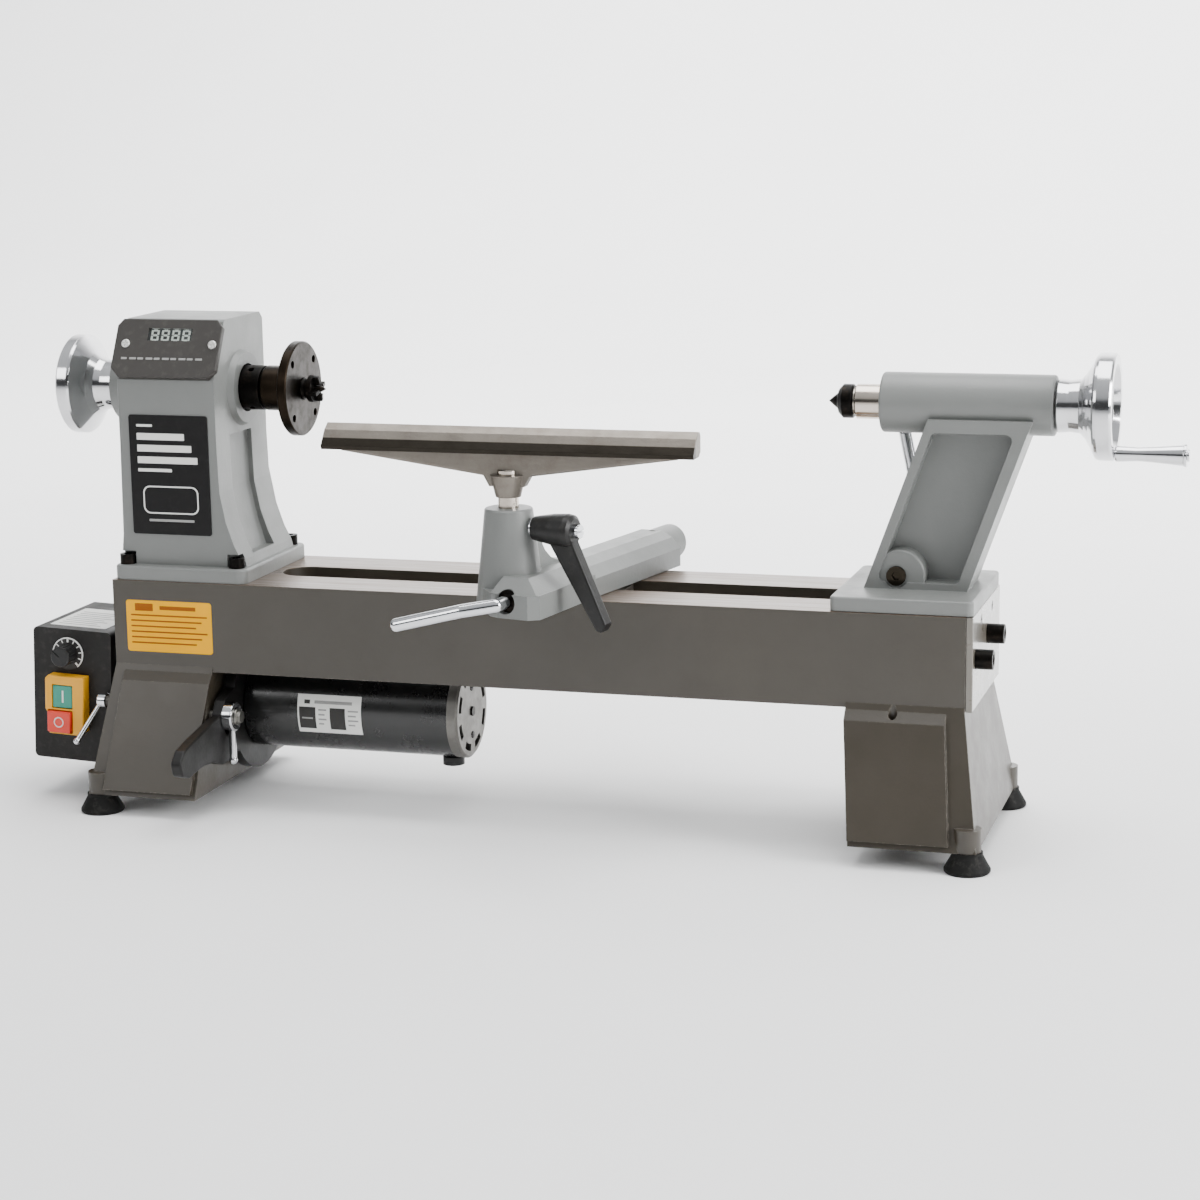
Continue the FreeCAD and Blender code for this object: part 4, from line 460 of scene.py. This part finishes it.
def add_prism(bm, points, z0, z1):
    """Extruded outline (mm) between two heights (mm)."""
    low = [bm.verts.new((x * MM, y * MM, z0 * MM)) for x, y in points]
    high = [bm.verts.new((x * MM, y * MM, z1 * MM)) for x, y in points]
    bm.faces.new(list(reversed(low)))
    bm.faces.new(high)
    for i in range(len(points)):
        j = (i + 1) % len(points)
        bm.faces.new((low[i], low[j], high[j], high[i]))


def rounded(x0, x1, y0, y1, r, steps=5):
    """Outline of a rectangle with round corners of radius r."""
    pts = []
    for cx, cy, start in ((x1 - r, y1 - r, 0), (x0 + r, y1 - r, 90),
                          (x0 + r, y0 + r, 180), (x1 - r, y0 + r, 270)):
        for k in range(steps + 1):
            a = math.radians(start + 90 * k / steps)
            pts.append((cx + r * math.cos(a), cy + r * math.sin(a)))
    return pts


def add_ring(bm, cx, cy, r0, r1, z0, z1, count=40, start=0.0, end=360.0):
    """Flat ring or arc (mm) with square section."""
    full = abs(end - start) >= 359.9
    steps = count if full else count + 1
    rows = []
    for k in range(steps):
        a = math.radians(start + (end - start) * k / count)
        c, s = math.cos(a), math.sin(a)
        rows.append([bm.verts.new(((cx + r * c) * MM, (cy + r * s) * MM, z * MM))
                     for r, z in ((r0, z0), (r1, z0), (r1, z1), (r0, z1))])
    for k in range(steps if full else steps - 1):
        a, b = rows[k], rows[(k + 1) % steps]
        for i in range(4):
            j = (i + 1) % 4
            bm.faces.new((a[i], a[j], b[j], b[i]))
    if not full:
        bm.faces.new(list(reversed(rows[0])))
        bm.faces.new(rows[-1])


UPRIGHT = Matrix(((1, 0, 0, 0), (0, 0, -1, 0), (0, 1, 0, 0), (0, 0, 0, 1)))


def front_of(x, y, z):
    """Places a drawing (across, up, towards the operator) on a plane that faces the operator."""
    return Matrix.Translation(at(x, y, z)) @ UPRIGHT


BOX_TILT = math.radians(2.44)
BOX_TOP = Matrix.Translation(at(-788.0, -60.0, 145.0)) @ Matrix.Rotation(BOX_TILT, 4, "Y")
BOX_FRONT = BOX_TOP @ UPRIGHT
# the sloping display panel: y and z (mm) of its lower and upper edge
low, high = Vector((-55.8, 353.2)), Vector((-31.7, 398.4))
run = (high - low).normalized()
SLOPE = Matrix(((1, 0, 0, SHIFT.x * MM), (0, run.x, -run.y, (low.x + SHIFT.y) * MM),
                (0, run.y, run.x, low.y * MM), (0, 0, 0, 1)))


def bars(name, rows, z0, z1, material, body, place, bevel=0.00006):
    """Thin raised bars, one for each row of x0, x1, y0, y1 (mm)."""
    bm = bmesh.new()
    for x0, x1, y0, y1 in rows:
        add_prism(bm, rounded(x0, x1, y0, y1, min(0.45, (y1 - y0) * 0.3, (x1 - x0) * 0.3), 3), z0, z1)
    return finish_mesh(name, bm, material, body, place, min(bevel, 0.3 * (z1 - z0) * MM))


# read-out: four seven-bar digits behind the window, and a row of plain marks under it
DIGITS, DIGIT_PITCH = 4, 9.2
DIGIT_BARS = ((1.75, 0, 3.3, 1.5), (1.75, 4.15, 3.3, 1.5), (1.75, 8.3, 3.3, 1.5),      # x, y, width, height
              (0, 0.5, 1.6, 4.0), (5.2, 0.5, 1.6, 4.0), (0, 5.3, 1.6, 4.0), (5.2, 5.3, 1.6, 4.0))
bm = bmesh.new()
for k in range(DIGITS):
    x0, y0 = -677.2 + k * DIGIT_PITCH, 32.9
    for dx, dy, lx, ly in DIGIT_BARS:
        add_prism(bm, rounded(x0 + dx, x0 + dx + lx, y0 + dy, y0 + dy + ly, 0.3, 2), 1.22, 1.6)
finish_mesh("display_digits", bm, "digit", "frame", SLOPE)
bm = bmesh.new()
add_prism(bm, rounded(-678.6, -640.4, 32.1, 42.9, 0.8), 1.1, 1.24)
finish_mesh("display_face", bm, "display_back", "frame", SLOPE)
bars("display_marks", [(-699.0 + 7.3 * k, -694.0 + 7.3 * k + 1.0 * (k % 2), 15.4, 17.2) for k in range(10)],
     5.0, 5.14, "grey_ink", "frame", SLOPE)

# name plate print: blank bars and an empty frame in place of any wording
NAME = front_of(-658.25, -56.8, 226.5)
bars("name_plate_bars",
     [(-28.0, -14.0, 88.4, 90.4), (-28.0, 14.0, 77.6, 83.2), (-28.0, 20.0, 68.0, 73.6),
      (-28.0, 25.0, 58.4, 64.0), (-28.0, 2.0, 51.6, 54.2)], 0.0, 0.14, "white", "frame", NAME)
bm = bmesh.new()
outer = rounded(-24.5, 24.5, 17.0, 40.0, 6.0, 8)
inner = rounded(-23.3, 23.3, 18.2, 38.8, 5.0, 8)
rows = []
for p, q in zip(outer, inner):
    corners = ((*p, 0.0), (*q, 0.0), (*q, 0.14), (*p, 0.14))
    rows.append([bm.verts.new((a * MM, b * MM, z * MM)) for a, b, z in corners])
for k in range(len(rows)):
    a, b = rows[k], rows[(k + 1) % len(rows)]
    for i in range(4):
        j = (i + 1) % 4
        bm.faces.new((a[i], a[j], b[j], b[i]))
finish_mesh("name_plate_frame", bm, "white", "frame", NAME)
bars("name_plate_foot_bars", [(-20.0, 20.0, 10.6, 12.6)], 0.0, 0.14, "grey_ink", "frame", NAME)

# plain yellow label on the bed, with blank lines
LABEL = front_of(-660.0, -67.2, 151.5)
bm = bmesh.new()
add_prism(bm, rounded(-38.0, 38.0, -21.5, 21.5, 2.5), 0.0, 0.22)
finish_mesh("bed_label", bm, "label_yellow", "frame", LABEL, 0.00005)
heading = [(-8.0, 24.0, 14.0, 17.2)]
lines = [(-34.0, 34.0 - 5.0 * (k % 3), 8.4 - 4.6 * k, 9.7 - 4.6 * k) for k in range(6)]
bars("bed_label_lines", heading + lines, 0.22, 0.32, "label_ink", "frame", LABEL)
bars("bed_label_block", [(-30.0, -14.0, 12.6, 18.8)], 0.22, 0.32, "label_ink", "frame", LABEL)

# dial plate with scale marks, and the marks on the two buttons
DIAL = (31.8, -20.9)
bm = bmesh.new()
add_ring(bm, *DIAL, 3.7, 13.6, 0.0, 0.8, 56)
finish_mesh("dial_plate", bm, "ink", "frame", BOX_FRONT, 0.00015)
bm = bmesh.new()
for k in range(11):
    a = math.radians(225 - 27 * k)
    c, s = math.cos(a), math.sin(a)
    w = 0.45 if k % 5 else 0.8
    pts = [(DIAL[0] + r * c - o * s, DIAL[1] + r * s + o * c)
           for r, o in ((9.9, -w), (12.6, -w), (12.6, w), (9.9, w))]
    add_prism(bm, pts, 0.8, 0.92)
finish_mesh("dial_marks", bm, "white", "frame", BOX_FRONT)
bm = bmesh.new()
add_ring(bm, *DIAL, 12.9, 13.9, 0.0, 0.95, 64, -50.0, 230.0)
finish_mesh("dial_rim", bm, "white", "frame", BOX_FRONT, 0.0001)
bm = bmesh.new()
add_prism(bm, rounded(30.1, 31.9, -61.0, -50.4, 0.5, 3), 9.32, 9.5)
finish_mesh("start_mark", bm, "white", "start", BOX_FRONT)
bm = bmesh.new()
add_ring(bm, 29.0, -77.0, 3.45, 4.55, 13.15, 13.35, 40)
finish_mesh("stop_mark", bm, "white", "stop", BOX_FRONT)

# white label on top of the control box, with blank lines
bm = bmesh.new()
add_prism(bm, rounded(9.0, 60.0, 12.0, 78.0, 2.0), 0.0, 0.2)
finish_mesh("box_label", bm, "white", "frame", BOX_TOP, 0.00004)
lines = [(14.0, 52.0 - 6 * (k % 2), 18.0 + 6.5 * k, 20.0 + 6.5 * k) for k in range(8)]
bars("box_label_lines", lines, 0.2, 0.28, "grey_ink", "frame", BOX_TOP)


# motor label: a curved plate on the can with blank blocks
def on_can(name, blocks, r0, r1, material):
    """Curved blocks between two radii (mm) round the motor's axis: x0 to x1 mm, a0 to a1 degrees."""
    bm = bmesh.new()
    for x0, x1, a0, a1 in blocks:
        steps = max(2, int(abs(a1 - a0) / 4) + 1)
        rows = []
        for k in range(steps + 1):
            a = math.radians(a0 + (a1 - a0) * k / steps)
            rows.append([bm.verts.new(at(x, -r * math.cos(a), 78.0 + r * math.sin(a)))
                         for x, r in ((x0, r0), (x1, r0), (x1, r1), (x0, r1))])
        for k in range(steps):
            a, b = rows[k], rows[k + 1]
            for i in range(4):
                j = (i + 1) % 4
                bm.faces.new((a[i], a[j], b[j], b[i]))
        bm.faces.new(list(reversed(rows[0])))
        bm.faces.new(rows[-1])
    return finish_mesh(name, bm, material, "motor")


on_can("motor_label", [(-562.0, -506.0, -26.0, 24.0)], 38.02, 38.20, "white")
on_can("motor_label_blocks",
       [(-560.5, -546.0, -20.0, 8.0), (-533.5, -520.0, -20.0, 8.0), (-556.0, -551.0, 12.0, 17.0)],
       38.20, 38.26, "ink")
on_can("motor_label_lines",
       [(-547.0, -514.0, 12.5, 16.5), (-543.5, -536.5, 4.0, 6.0), (-543.5, -538.0, -2.0, 0.0),
        (-543.5, -536.5, -8.0, -6.0), (-543.5, -539.0, -14.0, -12.0), (-517.5, -508.5, 4.0, 6.0),
        (-517.5, -510.5, -2.0, 0.0), (-517.5, -508.5, -8.0, -6.0), (-517.5, -511.5, -14.0, -12.0),
        (-558.0, -548.5, -7.0, -5.0)], 38.20, 38.27, "grey_ink")

# ---------------------------------------------------------------------------
# floor and backdrop in one sweep, lights and camera
# ---------------------------------------------------------------------------
def stage_finish():
    n = Nodes("studio_paper")
    paper = n.mix(n.ramp(n.noise(1.6, 4.0), 0.3, 0.7), (0.90, 0.90, 0.90, 1), (0.94, 0.94, 0.94, 1))
    n.link(paper, n.bsdf.inputs["Base Color"])
    n.link(n.ramp(n.noise(40.0, 4.0), 0.3, 0.7, 0.75, 0.88), n.bsdf.inputs["Roughness"])
    n.link(n.bump(n.noise(300.0, 3.0), 0.00003, 0.3), n.bsdf.inputs["Normal"])
    n.bsdf.inputs["Specular IOR Level"].default_value = 0.2
    return n.mat


M["stage"] = stage_finish()
FLOOR_REACH, SWEEP_START, SWEEP_RADIUS, SWEEP_TOP = 24.0, 2.6, 2.2, 7.0      # metres
profile = [(-FLOOR_REACH, 0.0), (SWEEP_START, 0.0)]
for k in range(1, 13):
    a = math.radians(7.5 * k)
    profile.append((SWEEP_START + SWEEP_RADIUS * math.sin(a), SWEEP_RADIUS - SWEEP_RADIUS * math.cos(a)))
profile.append((SWEEP_START + SWEEP_RADIUS, SWEEP_TOP))
mesh = bpy.data.meshes.new("studio_sweep")
verts, faces = [], []
for y, z in profile:
    verts += [(-FLOOR_REACH, y, z), (FLOOR_REACH, y, z)]
for k in range(len(profile) - 1):
    faces.append((2 * k, 2 * k + 1, 2 * k + 3, 2 * k + 2))
mesh.from_pydata(verts, [], faces)
for p in mesh.polygons:
    p.use_smooth = True
sweep = bpy.data.objects.new("studio_sweep", mesh)
bpy.context.scene.collection.objects.link(sweep)
mesh.materials.append(M["stage"])

world = bpy.data.worlds.new("studio")
bpy.context.scene.world = world
world.use_nodes = True
background = world.node_tree.nodes["Background"]
background.inputs["Color"].default_value = (0.96, 0.98, 1.0, 1.0)
# a bright ceiling over a darker room: polished metal then shows light and dark bands, as in a real studio
tree = world.node_tree
sky_coord = tree.nodes.new("ShaderNodeTexCoord")
sky_split = tree.nodes.new("ShaderNodeSeparateXYZ")
sky_ramp = tree.nodes.new("ShaderNodeValToRGB")
tree.links.new(sky_coord.outputs["Generated"], sky_split.inputs[0])
tree.links.new(sky_split.outputs["Z"], sky_ramp.inputs["Fac"])
stops = sky_ramp.color_ramp.elements
stops[0].position, stops[0].color = 0.0, (0.10, 0.10, 0.10, 1.0)
stops[1].position, stops[1].color = 1.0, (0.90, 0.90, 0.90, 1.0)
for position, level in ((0.10, 0.06), (0.30, 0.08), (0.44, 0.60)):
    stops.new(position).color = (level, level, level, 1.0)
tree.links.new(sky_ramp.outputs["Color"], background.inputs["Strength"])


def soft_light(name, place, target, size, power, colour=(1, 1, 1)):
    data = bpy.data.lights.new(name, "AREA")
    data.shape = "RECTANGLE"
    data.size, data.size_y = size
    data.energy = power
    data.color = colour
    obj = bpy.data.objects.new(name, data)
    bpy.context.scene.collection.objects.link(obj)
    obj.location = place
    obj.rotation_euler = (Vector(target) - Vector(place)).to_track_quat("-Z", "Y").to_euler()
    return obj


soft_light("overhead", (0.1, 0.2, 2.6), (0.0, 0.0, 0.2), (2.6, 1.8), 90.0)
soft_light("front_left", (-2.2, -2.6, 1.9), (-0.1, 0.0, 0.2), (1.3, 1.3), 26.0)
soft_light("right_side", (2.6, -0.5, 1.1), (0.2, 0.0, 0.2), (1.2, 1.2), 92.0)
soft_light("backdrop", (0.0, 1.4, 3.2), (0.0, 4.8, 1.6), (5.0, 1.0), 560.0)

CAMERA_AZIMUTH, CAMERA_ELEVATION, CAMERA_ROLL = 16.79, 11.44, -0.862      # degrees, from the front
CAMERA_PLACE = (315.2, -2077.8, 615.2)                                    # working axes, mm
CAMERA_LENS = 82.62
az, el, roll = (math.radians(v) for v in (CAMERA_AZIMUTH, CAMERA_ELEVATION, CAMERA_ROLL))
back = Vector((math.sin(az) * math.cos(el), -math.cos(az) * math.cos(el), math.sin(el)))
right = Vector((math.cos(az), math.sin(az), 0.0))
up = back.cross(right)
c, s = math.cos(roll), math.sin(roll)
right, up = c * right + s * up, -s * right + c * up
place = at(*CAMERA_PLACE)
camera_data = bpy.data.cameras.new("camera")
camera_data.lens = CAMERA_LENS
camera_data.sensor_width = 36.0
camera_data.sensor_fit = "HORIZONTAL"
camera_data.clip_start = 0.05
camera_data.clip_end = 50.0
camera = bpy.data.objects.new("camera", camera_data)
bpy.context.scene.collection.objects.link(camera)
camera.matrix_world = Matrix(((right.x, up.x, back.x, place.x), (right.y, up.y, back.y, place.y),
                              (right.z, up.z, back.z, place.z), (0, 0, 0, 1)))
bpy.context.scene.camera = camera
